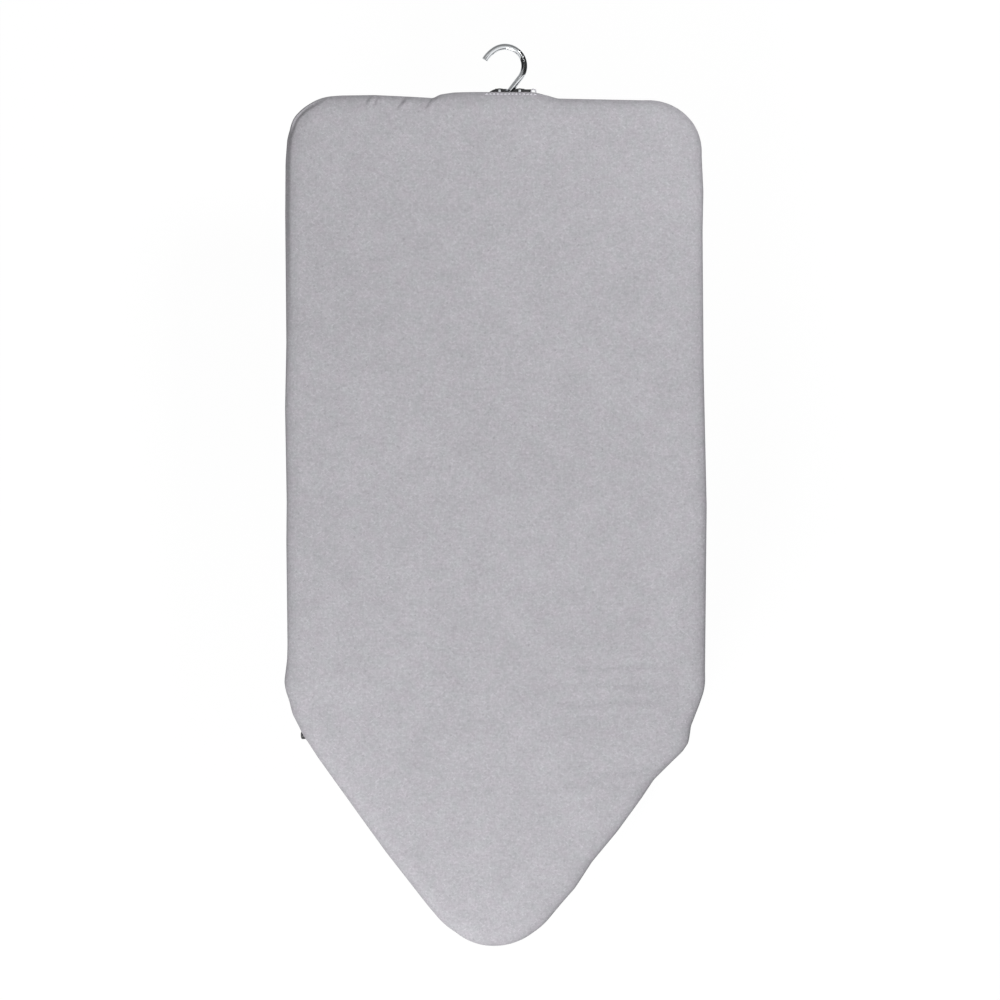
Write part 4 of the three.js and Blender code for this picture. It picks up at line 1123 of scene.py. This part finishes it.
def cover_faces(count, outline):
    """Quads between the rings, left out below the skirt where the hook bracket passes."""
    at_bracket = near_end_middle(outline, 0, BRACKET_GAP)
    left_out = at_bracket & np.roll(at_bracket, -1)
    stations = len(left_out)
    open_from = WRAP_ROW * stations
    faces = ring_faces(count, stations, flipped=True)
    return [face for i, face in enumerate(faces) if i < open_from or not left_out[i % stations]]


def without_loose(vertices, places, faces):
    """The same faces over only the vertices that they use."""
    used = sorted({corner for face in faces for corner in face})
    number = {old: new for new, old in enumerate(used)}
    return vertices[used], places[used], [tuple(number[corner] for corner in face) for face in faces]


def add_flat_map(mesh, places):
    layer = mesh.uv_layers.new(name=CLOTH_MAP)
    corners = np.empty(len(mesh.loops), dtype=np.int64)
    mesh.loops.foreach_get("vertex_index", corners)
    layer.uv.foreach_set("vector", places[corners].astype(np.float32).ravel())


def make_cover(outline, settled):
    rows = cover_rows(outline)
    settle_rows(outline, rows, settled)
    count, stations = rows.shape[:2]
    grid, triangles = filled(rows[0, :, :2], TOP_GRID)
    top = np.column_stack([grid, np.full(len(grid), TOP_Z)])
    vertices = np.vstack([rows.reshape(-1, 3), top])
    places = np.vstack([cover_flat_places(outline).reshape(-1, 2), grid])
    x, y = vertices[:, 0], vertices[:, 1]
    facing_up = smoothstep(vertices[:, 2], TOP_Z - RELIEF_END_DROP, TOP_Z - RELIEF_FULL_DROP)
    vertices[:, 2] += facing_up * (top_relief(x, y) + crease_relief(x, y))
    faces = cover_faces(count, outline)
    shift = (count - 1) * stations
    for triangle in triangles:
        faces.append(tuple(corner if corner < stations else corner + shift for corner in triangle))
    vertices, places, faces = without_loose(vertices, places, faces)
    piece = make_piece("fitted_cover", vertices, faces, MATERIALS["cover_cloth"])
    add_flat_map(piece.data, places)
    piece.data.shade_smooth()
    thicken(piece, CLOTH_THICKNESS, -1)
    return dress(piece, "cover"), rows


# Seams, cord loop, elastic and pad

def sewn_piece(name, vertices, faces):
    """A piece of thread that goes with the cover."""
    piece = make_piece(name, vertices, faces, MATERIALS["thread"])
    face_outwards(piece)
    piece.data.shade_smooth()
    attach(piece, BODY_OF["cover"])
    return piece


def stitch_stations(points, along, facing, start):
    """One stitch: it rises out of the cloth, runs along it and dips back in."""
    ends = [Vector([np.interp(start + reach, along, points[:, axis]) for axis in range(3)])
            for reach in (0, STITCH_LENGTH)]
    run = (ends[1] - ends[0]).normalized()
    stations = []
    for share, proud, thick in STITCH_SHAPE:
        place = ends[0].lerp(ends[1], share) + proud * STITCH_RADIUS * facing
        stations.append((place, run, STITCH_RADIUS * thick))
    return stations


def make_stitches(rows):
    """Short stitches along rows of points. Each row comes with the way its cloth faces."""
    vertices = []
    faces = []
    for points, facing in rows:
        steps = np.linalg.norm(np.diff(points, axis=0), axis=1)
        along = np.concatenate([[0], np.cumsum(steps)])
        for start in np.arange(0, along[-1] - STITCH_LENGTH, STITCH_PITCH):
            rings = tube_rings(stitch_stations(points, along, facing, start), facing, STITCH_SIDES)
            corners, quads = loft(rings, False)
            faces += shifted(quads, len(vertices))
            vertices += corners
    return sewn_piece("cover_stitches", vertices, faces)


def hem_seam(outline, rings):
    """The seam of the casing, from one side of the hook bracket round to the other."""
    return rings[SEAM_ROW][round_bracket(outline, BRACKET_GAP + STITCH_LENGTH)]


def slit_seam(outline, rings):
    """The seam above the slit that the hook bracket passes through."""
    return rings[SLIT_SEAM_ROW][near_end_middle(outline, HOOK_AXIS.x, SLIT_SEAM_REACH)]


def make_cord_loop():
    """A small loop of cord that stands out of the slit's right end."""
    centre = Vector((CORD_LOOP_X, END_Y + CORD_LOOP_BEYOND_END))
    path = arc_path(centre, CORD_LOOP_RADIUS, 0, 2 * math.pi, CORD_STEPS)[:-1]
    stations = [(Vector((*point, RIM_Z)), along.to_3d(), CORD_RADIUS) for point, along in path]
    vertices, faces = loft(tube_rings(stations, Z_AXIS, STITCH_SIDES), True)
    return sewn_piece("slit_cord_loop", vertices, faces)


def make_elastic(outline, settled):
    """A ribbed band inside the casing, open where the hook bracket passes."""
    low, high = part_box("hem_elastic")
    distances, whole = lengths_along(outline[0])
    ribs = ELASTIC_RIB * np.sin(2 * math.pi * distances / ELASTIC_RIB_PITCH)
    sections = []
    for inset, height in (
        (ELASTIC_OUTER_INSET, low.z), (ELASTIC_INNER_INSET, low.z),
        (ELASTIC_INNER_INSET, high.z), (ELASTIC_OUTER_INSET, high.z),
    ):
        share = (inset - SEAM_INSET) / (HEM_INSET - SEAM_INSET)
        ring = ring_at(outline, inset, height)
        ring += (1 - share) * settled_move(outline, settled, SEAM_ROW)
        ring += share * settled_move(outline, settled, SETTLE_LAST_ROW)
        ring[:, 2] += hem_lift(outline, inset) + ribs
        sections.append(ring)
    kept = round_bracket(outline, BRACKET_GAP)
    return solid_piece("hem_elastic", [[Vector(section[i]) for section in sections] for i in kept])


def make_pad(outline):
    """Felt sheet with a rounded upper edge, drawn in along its lower edge."""
    low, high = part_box("pad")
    drawn_in = (high.z - low.z - PAD_EDGE_DROP) / 2
    rows = [ring_at(outline, PAD_INSET + drawn_in, low.z), ring_at(outline, PAD_INSET, low.z + drawn_in)]
    for angle in angles_to(QUARTER, PAD_EDGE_STEPS):
        inset = PAD_INSET + PAD_EDGE_REACH * (1 - math.cos(angle))
        rows.append(ring_at(outline, inset, high.z - PAD_EDGE_DROP * (1 - math.sin(angle))))
    stations = len(outline[0])
    vertices = np.vstack(rows)
    faces = ring_faces(len(rows), stations)
    for first, height, turn in ((0, low.z, -1), ((len(rows) - 1) * stations, high.z, 1)):
        grid, triangles = filled(vertices[first:first + stations, :2], PAD_GRID)
        shift = len(vertices) - stations
        vertices = np.vstack([vertices, np.column_stack([grid, np.full(len(grid), height)])])
        for triangle in triangles:
            numbers = [corner + first if corner < stations else corner + shift for corner in triangle]
            faces.append(tuple(numbers[::turn]))
    piece = make_piece("felt_pad", vertices, faces, MATERIALS["felt"])
    face_outwards(piece)
    smooth(piece)
    return dress(piece, "pad")


# Panel, rim and bars

def strand_field(field, height):
    """Diamond cells that lie inside the field, each a frame of four strands whose lips slant."""
    half_width = DIAMOND_WIDTH / 2
    half_length = DIAMOND_LENGTH / 2
    reach = half_width * half_length / math.hypot(half_width, half_length)
    opening = (reach - STRAND_HALF_WIDTH) / reach
    number = {}
    vertices = []
    faces = []

    def corner(x, y):
        key = (round(x / SHARED_CORNER), round(y / SHARED_CORNER))
        if key not in number:
            number[key] = len(vertices)
            vertices.append((x, y, height))
        return number[key]

    columns = math.ceil(HALF_WIDTH / DIAMOND_WIDTH) + 1
    for row, y, crossings in lines_across(field, half_length):
        for column in range(-columns, columns + 1):
            x = (column + (row % 2) / 2) * DIAMOND_WIDTH
            if not crossings.min() < x < crossings.max():
                continue
            outer = [corner(x + across * half_width, y + along * half_length) for across, along in DIAMOND]
            first = len(vertices)
            for across, along in DIAMOND:
                inner = (x + across * opening * half_width, y + along * opening * half_length)
                vertices.append((*inner, height + along * STRAND_TILT))
            for side in range(4):
                other = (side + 1) % 4
                faces.append((outer[side], outer[other], first + other, first + side))
    return vertices, faces


def make_panel(outline):
    """Expanded metal: a field of slanted diamond strands on a flat edge band."""
    low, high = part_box("mesh_panel")
    field = ring_at(outline, PANEL_FIELD_INSET, 0)[:, :2]
    vertices, faces = strand_field(field, low.z + BAND_THICKNESS)
    band = [ring_at(outline, inset, low.z) for inset in (RIM_INSET, PANEL_EDGE_INSET)]
    faces += shifted(ring_faces(len(band), len(band[0])), len(vertices))
    vertices += list(np.vstack(band))
    piece = make_piece("expanded_panel", vertices, faces, MATERIALS["panel_steel"])
    thicken(piece, STRAND_THICKNESS, 0)
    piece.data.shade_flat()
    return dress(piece, "mesh_panel")


def make_rim(outline):
    low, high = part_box("rim_rod")
    centre = (low.z + high.z) / 2
    rings = []
    for angle in angles_to(2 * math.pi, TUBE_SIDES)[:-1]:
        inset = RIM_INSET + RIM_RADIUS * math.cos(angle)
        ring = ring_at(outline, inset, centre + RIM_RADIUS * math.sin(angle))
        rings.append([Vector(point) for point in ring])
    return solid_piece("rim_rod", rings, True)


def make_rounded_copy(node, reshape=None, split_y=None):
    """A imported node's own shape with its hard edges rounded. It may first be split across at some Y, and
    each of its corners moved."""
    mesh = frame["nodes"][node].data.copy()
    mesh.name = node + "_shape"
    mesh.materials.clear()
    mesh.materials.append(MATERIALS[SLOT_OF[node]])
    work = bmesh.new()
    work.from_mesh(mesh)
    bmesh.ops.remove_doubles(work, verts=work.verts, dist=WELD_DISTANCE)
    bmesh.ops.dissolve_limit(work, angle_limit=FLAT_ANGLE, verts=work.verts, edges=work.edges)
    if split_y:
        parts = [*work.verts, *work.edges, *work.faces]
        bmesh.ops.bisect_plane(work, geom=parts, plane_co=(0, split_y, 0), plane_no=Y_AXIS)
    if reshape:
        for vertex in work.verts:
            vertex.co = reshape(vertex.co)
    work.to_mesh(mesh)
    work.free()
    piece = placed(node + "_shape", mesh)
    smooth(piece, BEVEL_ANGLE)
    bevel = piece.modifiers.new("rounded_edges", "BEVEL")
    bevel.width = BEVELS[SLOT_OF[node]]
    bevel.segments = BEVEL_SEGMENTS
    bevel.limit_method = "ANGLE"
    bevel.angle_limit = BEVEL_ANGLE
    return dress(piece, node)


# Legs

def leg_direction(pivot):
    """The way an open leg runs down from its pivot: outwards past the upright."""
    angle = math.radians(JOINTS["front_leg_fold"]["range_deg"][1])
    outward = math.copysign(1.0, pivot.y)
    return Vector((0, -outward * math.cos(angle), -math.sin(angle)))


def leg_stations(pivot, length):
    """The bent tube from one open end to the other, with its walls turned in at both ends."""
    down = leg_direction(pivot)
    bend_x = LEG_X - LEG_BEND_RADIUS
    bend_y = length - LEG_BEND_RADIUS
    path = [
        *arc_path(Vector((bend_x, bend_y)), LEG_BEND_RADIUS, 0, QUARTER, LEG_BEND_STEPS),
        *arc_path(Vector((-bend_x, bend_y)), LEG_BEND_RADIUS, QUARTER, math.pi, LEG_BEND_STEPS),
    ]
    inner = LEG_RADIUS - LEG_WALL
    rim = LEG_RADIUS - LEG_END_CHAMFER
    end = [(LEG_BORE_DEPTH, inner), (0, inner), (0, rim), (LEG_END_CHAMFER, LEG_RADIUS)]
    first = [(Vector((LEG_X, depth - LEG_HEEL)), Vector((0, 1)), radius) for depth, radius in end]
    middle = [(point, along, LEG_RADIUS) for point, along in path]
    last = [(Vector((-LEG_X, depth - LEG_HEEL)), Vector((0, -1)), radius) for depth, radius in reversed(end)]
    stations = []
    for point, along, radius in first + middle + last:
        place = pivot + point.x * X_AXIS + point.y * down
        stations.append((place, along.x * X_AXIS + along.y * down, radius))
    return stations


def make_leg(name, pivot):
    down = leg_direction(pivot)
    length = (pivot.z - TABLE_Z - FOOT_SOLE_REACH) / -down.z
    normal = X_AXIS.cross(down)
    solid_piece(name + "_leg_tube", tube_rings(leg_stations(pivot, length), normal, TUBE_SIDES))
    make_rod(name + "_pivot_rod", PIVOT_RADIUS)
    make_rod(name + "_stop_rod", STOP_RADIUS)
    for side in ("left", "right"):
        make_spacer(f"{name}_spacer_{side}")
        at_front_left = (name, side) == ("front", "left")
        make_cap(f"{name}_rod_cap_{side}", FRONT_LEFT_CAP_OVERHANG if at_front_left else 0)
        make_foot(f"{name}_foot_{side}", pivot + length * down)


def span_of(node, way):
    """Where a node's box starts along a way, halfway across, and how long it is that way."""
    low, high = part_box(node)
    length = abs((high - low).dot(way))
    return (low + high) / 2 - length / 2 * way, length


def chamfered(length, radius, between=()):
    """Profile of a round bar with chamfered ends and whatever comes between them."""
    end = radius - EDGE_CHAMFER
    return [(0, end), (EDGE_CHAMFER, radius), *between, (length - EDGE_CHAMFER, radius), (length, end)]


def make_rod(node, radius):
    origin, length = span_of(node, X_AXIS)
    return solid_piece(node, lathe_rings(chamfered(length, radius), origin, X_AXIS, TUBE_SIDES))


def make_spacer(node):
    """Sleeve on the pivot rod, with a shallow waist."""
    origin, length = span_of(node, X_AXIS)
    narrows, narrow = SPACER_WAIST
    waist = [
        (narrows * length, SPACER_RADIUS), (narrow * length, SPACER_WAIST_RADIUS),
        ((1 - narrow) * length, SPACER_WAIST_RADIUS), ((1 - narrows) * length, SPACER_RADIUS),
    ]
    profile = [(0, PIVOT_RADIUS), *chamfered(length, SPACER_RADIUS, waist), (length, PIVOT_RADIUS)]
    return solid_piece(node, lathe_rings(profile, origin, X_AXIS), True)


def make_cap(node, overhang):
    """Push-on cap with a collar against the tube and a domed end."""
    low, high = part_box(node)
    way = math.copysign(1.0, low.x + high.x) * X_AXIS
    origin, length = span_of(node, way)
    profile = [(along * MM, radius * MM) for along, radius in CAP_COLLAR]
    for share, radius in CAP_DOME:
        profile.append((length + overhang - share * CAP_DOME_LENGTH, radius * MM))
    return solid_piece(node, lathe_rings(profile, origin, way))


def foot_section(shrink):
    """Radius of a foot's section by angle from straight down: a sleeve with a flat sole."""
    reach = FOOT_SOLE_REACH - shrink
    half = FOOT_SOLE_HALF_WIDTH - shrink / 2
    corner = math.atan2(half, reach)
    angles = sorted({*angles_to(2 * math.pi, FOOT_SIDES)[:-1], corner, 2 * math.pi - corner})
    section = []
    for angle in angles:
        down = math.cos(angle)
        aside = abs(math.sin(angle))
        radius = FOOT_RADIUS - shrink
        if min(angle, 2 * math.pi - angle) <= corner + TINY:
            radius = reach / down
        elif down > 0:
            radius = max(radius, min(half / aside, math.hypot(half, reach)))
        section.append((angle, radius))
    return section


def foot_ring(x, axis, section):
    return [Vector((x, axis.y + radius * math.sin(angle), axis.z - radius * math.cos(angle)))
            for angle, radius in section]


def make_foot(node, axis):
    """Rubber sleeve with grip grooves and a flat sole."""
    low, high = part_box(node)
    length = high.x - low.x
    pitch = (length - 2 * FOOT_CHAMFER) / FOOT_RIBS
    rows = [(0, FOOT_CHAMFER), (FOOT_CHAMFER, 0)]
    for rib in range(1, FOOT_RIBS):
        at = FOOT_CHAMFER + rib * pitch
        rows += [(at - FOOT_GROOVE_MOUTH, 0), (at - FOOT_GROOVE_FLOOR, FOOT_GROOVE)]
        rows += [(at + FOOT_GROOVE_FLOOR, FOOT_GROOVE), (at + FOOT_GROOVE_MOUTH, 0)]
    rows += [(length - FOOT_CHAMFER, 0), (length, FOOT_CHAMFER)]
    bore = [(angle, LEG_RADIUS) for angle, radius in foot_section(0)]
    rings = [foot_ring(low.x + along, axis, foot_section(shrink)) for along, shrink in rows]
    return solid_piece(node, [foot_ring(low.x, axis, bore), *rings, foot_ring(high.x, axis, bore)])


# Hook and rivets

def hook_path():
    """The wire's flat path about the swivel: place, way and thickness, and where its shank ends."""
    low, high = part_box("hook_wire")
    centre = Vector((-HOOK_LEAN, high.y - HOOK_WIRE_RADIUS - HOOK_RADIUS - HOOK_AXIS.y))
    around = arc_path(centre, HOOK_RADIUS, HOOK_NECK_ANGLE, HOOK_EASE_ANGLE, HOOK_STEPS)
    tip_centre = centre - (HOOK_TIP_RADIUS - HOOK_RADIUS) * heading(HOOK_EASE_ANGLE)
    around += arc_path(tip_centre, HOOK_TIP_RADIUS, HOOK_EASE_ANGLE, HOOK_TIP_ANGLE, HOOK_TIP_STEPS)[1:]
    neck_top = around[0][0]
    slope = HOOK_NECK_ANGLE + QUARTER
    turned = QUARTER - slope
    bend_y = neck_top.y - neck_top.x * math.tan(slope)
    shank_end = bend_y - HOOK_NECK_RADIUS * math.tan(turned / 2)
    neck_centre = Vector((HOOK_NECK_RADIUS, shank_end))
    neck = arc_path(neck_centre, HOOK_NECK_RADIUS, math.pi, math.pi - turned, HOOK_NECK_STEPS)
    start = Vector((0, low.y - HOOK_AXIS.y))
    up = Vector((0, 1))
    swell = HOOK_ARC_RADIUS / HOOK_WIRE_RADIUS
    path = [(start + away * MM * up, up, thick) for away, thick in HOOK_SHANK_END]
    for step, (point, along) in enumerate(neck):
        path.append((point, along, 1 + (swell - 1) * step / HOOK_NECK_STEPS))
    path += [(point, along, swell) for point, along in around]
    tip, tip_along = around[-1]
    path += [(tip + away * MM * tip_along, tip_along, thick * swell) for away, thick in HOOK_CUT_END]
    return path, shank_end


def make_hook():
    """Shank, bend, slanting neck and open round hook with a cut end, drooping from the bend on."""
    path, shank_end = hook_path()
    bend = HOOK_AXIS + shank_end * Y_AXIS
    drooping = Matrix.Rotation(-HOOK_DROOP, 3, "X")
    stations = []
    for point, along, thick in path:
        droop = drooping if point.y > shank_end else Matrix.Identity(3)
        away = droop @ Vector((point.x, point.y - shank_end, 0))
        stations.append((bend + away, droop @ along.to_3d(), HOOK_WIRE_RADIUS * thick))
    return solid_piece("hook_wire", tube_rings(stations, drooping @ Z_AXIS, WIRE_SIDES))


def make_sleeve(node, radius, bore):
    """Round sleeve on the hook's axis with chamfered ends."""
    low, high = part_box(node)
    length = high.y - low.y
    profile = [(0, bore), *chamfered(length, radius), (length, bore)]
    origin = Vector((HOOK_AXIS.x, low.y, HOOK_AXIS.z))
    return solid_piece(node, lathe_rings(profile, origin, Y_AXIS), True)


def tongue_reshaped(place):
    """Where a corner of the hook bracket goes: the tongue's left lobe is spread, its right one squared."""
    if place.y < TONGUE_FROM_Y:
        return place
    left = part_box("hook_rivet_left")[0].x - TONGUE_HOLE_MARGIN
    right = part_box("hook_rivet_right")[1].x + TONGUE_HOLE_MARGIN
    if place.x < left:
        return Vector((left + TONGUE_LEFT_SPREAD * (place.x - left), place.y, place.z))
    if place.x > right:
        return Vector((place.x, max(place.y, END_Y + TONGUE_BAR_BEYOND_END), place.z))
    return place


def saddle_reshaped(place):
    """Where a corner of the saddle goes: the strap's bent part grows wider from the bush to its mouth."""
    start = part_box("hook_bush")[1].y
    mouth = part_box("hook_saddle")[1].y
    aside = place.x - HOOK_AXIS.x
    above = place.z - HOOK_AXIS.z
    if place.y <= start or abs(aside) > SADDLE_WALL_REACH:
        return place
    grown = 1 + SADDLE_MOUTH_GROWTH * (place.y - start) / (mouth - start)
    height = above if above > 0 else grown * above
    return Vector((HOOK_AXIS.x + grown * aside, place.y, HOOK_AXIS.z + height))


def make_rivet(node, radius, head_radius, head_height, way, fullness):
    """Shank and head."""
    origin, length = span_of(node, way)
    under = length - head_height
    profile = [(0, radius), (under, radius), (under, head_radius - RIVET_HEAD_UNDERCUT)]
    for angle in angles_to(QUARTER, RIVET_HEAD_STEPS)[:-1]:
        rise = RIVET_HEAD_RIM + (1 - RIVET_HEAD_RIM) * math.sin(angle) ** fullness
        profile.append((under + head_height * rise, head_radius * math.cos(angle) ** fullness))
    return solid_piece(node, lathe_rings(profile, origin, way))


# Stage

def gray(shade):
    return (shade, shade, shade, 1)


def cleared_tree(owner):
    owner.use_nodes = True
    owner.node_tree.nodes.clear()
    return owner.node_tree


def seen_ray(tree):
    """One for camera, glossy and transmission rays, which see the white ground."""
    path = add_node(tree, "ShaderNodeLightPath")
    first = math_of(tree, "MAXIMUM", path.outputs["Is Camera Ray"], path.outputs["Is Glossy Ray"])
    return math_of(tree, "MAXIMUM", first, path.outputs["Is Transmission Ray"])


def mixed_shaders(tree, factor, first, second):
    return add_node(tree, "ShaderNodeMixShader", {0: factor, 1: first, 2: second}).outputs[0]


def glowing_ground(tree, glow, shade):
    """A matt surface that also glows."""
    light = add_node(tree, "ShaderNodeEmission", {"Color": gray(1), "Strength": glow})
    matt = add_node(tree, "ShaderNodeBsdfDiffuse", {"Color": gray(shade)})
    return add_node(tree, "ShaderNodeAddShader", {0: light.outputs[0], 1: matt.outputs[0]}).outputs[0]


def make_floor():
    """White ground that keeps shadows, bounces little light and is clear from below."""
    material = bpy.data.materials.new("floor")
    tree = cleared_tree(material)
    shown = glowing_ground(tree, FLOOR_GLOW, FLOOR_SHADE)
    lit = glowing_ground(tree, FLOOR_FILL, FLOOR_BOUNCE)
    ground = mixed_shaders(tree, seen_ray(tree), lit, shown)
    below = add_node(tree, "ShaderNodeNewGeometry").outputs["Backfacing"]
    clear = add_node(tree, "ShaderNodeBsdfTransparent").outputs[0]
    add_node(tree, "ShaderNodeOutputMaterial", {"Surface": mixed_shaders(tree, below, ground, clear)})
    half = FLOOR_SIZE / 2
    corners = [(-half, -half, TABLE_Z), (half, -half, TABLE_Z), (half, half, TABLE_Z), (-half, half, TABLE_Z)]
    floor = make_piece("floor", corners, [(0, 1, 2, 3)], material)


def make_world():
    world = bpy.data.worlds.new("studio")
    bpy.context.scene.world = world
    tree = cleared_tree(world)
    ambient = add_node(tree, "ShaderNodeBackground", {"Color": gray(1), "Strength": AMBIENT}).outputs[0]
    ground = add_node(tree, "ShaderNodeBackground", {"Color": gray(1), "Strength": 1.0}).outputs[0]
    mixed = mixed_shaders(tree, seen_ray(tree), ambient, ground)
    add_node(tree, "ShaderNodeOutputWorld", {"Surface": mixed})


def make_card(name, corners, shade):
    """A card by the table that only shows in polished metal."""
    material = bpy.data.materials.new(name)
    tree = cleared_tree(material)
    glow = add_node(tree, "ShaderNodeEmission", {"Color": gray(shade), "Strength": 1.0})
    add_node(tree, "ShaderNodeOutputMaterial", {"Surface": glow.outputs[0]})
    card = make_piece(name, corners, [(0, 1, 2, 3)], material)
    card.visible_camera = False
    card.visible_diffuse = False
    card.visible_transmission = False
    card.visible_shadow = False


def make_cards():
    """Round the hook: grey cards behind it and at its left back, dark ones at its sides and a dark rail
    above it."""
    side = HALF_WIDTH + SIDE_CARD_GAP
    half = BACK_CARD_WIDTH / 2
    back = cad_box[1][1] + BACK_CARD_GAP
    front = cad_box[1][1] - SIDE_CARD_REACH
    split = front + LEFT_CARD_DEPTH
    for name, start, stop, height, shade in (
        ("back_card", (half, back), (-half, back), BACK_CARD_HEIGHT, BACK_CARD_SHADE),
        ("right_card", (side, front), (side, back), SIDE_CARD_HEIGHT, SIDE_CARD_SHADE),
        ("left_card", (-side, split), (-side, front), SIDE_CARD_HEIGHT, SIDE_CARD_SHADE),
        ("left_back_card", (-side, back), (-side, split), SIDE_CARD_HEIGHT, LEFT_BACK_CARD_SHADE),
    ):
        make_card(name, [(*start, TABLE_Z), (*stop, TABLE_Z), (*stop, height), (*start, height)], shade)
    above = SIDE_CARD_HEIGHT - HOOK_AXIS.z
    middle = cad_box[1][1] - HOOK_RADIUS
    near = middle + above * math.tan(RAIL_FROM)
    far = middle + above * math.tan(RAIL_TO)
    rail = [(x, y, SIDE_CARD_HEIGHT) for x, y in ((-side, near), (side, near), (side, far), (-side, far))]
    make_card("rail_card", rail, SIDE_CARD_SHADE)


def make_lamps():
    for name, (place, power, size) in LAMPS.items():
        data = bpy.data.lights.new(name, "AREA")
        data.shape = "SQUARE"
        data.size = size
        data.energy = power
        placed(name, data).location = place


def make_camera():
    data = bpy.data.cameras.new("camera")
    data.sensor_width = SENSOR_WIDTH
    data.lens = SENSOR_WIDTH * CAMERA_DISTANCE / PHOTO_WIDTH
    data.clip_end = CAMERA_CLIP
    camera = placed("camera", data)
    camera.location = (CAMERA_PLACE.x, CAMERA_PLACE.y, TOP_Z + CAMERA_DISTANCE)
    bpy.context.scene.camera = camera


# The board

bpy.context.scene.view_settings.view_transform = "Standard"
make_camera()
make_world()
make_floor()
make_cards()
make_lamps()

fine_outline = board_outline(FINE_STEP)
coarse_outline = board_outline(COARSE_STEP)
hem = settled_hem()
cover, cover_rings = make_cover(fine_outline, hem)
stitches = make_stitches((
    (hem_seam(fine_outline, cover_rings), -Z_AXIS),
    (slit_seam(fine_outline, cover_rings), SLIT_SEAM_FACING),
))
cord_loop = make_cord_loop()
elastic = make_elastic(coarse_outline, hem)
pad = make_pad(coarse_outline)
make_panel(coarse_outline)
make_rim(coarse_outline)
for bar in ("front_cross_bar", "rear_cross_bar", "centre_cross_bar", "end_cross_bar"):
    make_rounded_copy(bar)
for leg_name, leg_pivot in (("front", FRONT_PIVOT), ("rear", REAR_PIVOT)):
    make_leg(leg_name, leg_pivot)
    for side_name in ("left", "right"):
        make_rounded_copy(f"{leg_name}_hinge_block_{side_name}")
make_rounded_copy("leg_clip")
make_rounded_copy("hook_bracket", tongue_reshaped)
make_rounded_copy("hook_saddle", saddle_reshaped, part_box("hook_bush")[1].y)
make_hook()
make_sleeve("hook_bush", BUSH_RADIUS, HOOK_WIRE_RADIUS)
make_sleeve("hook_collar", COLLAR_RADIUS, HOOK_WIRE_RADIUS)
for rivet_node in sorted(frame["nodes"]):
    if rivet_node.startswith("hook_rivet"):
        make_rivet(rivet_node, *HOOK_RIVET)
    elif "rivet" in rivet_node:
        make_rivet(rivet_node, *BOARD_RIVET)
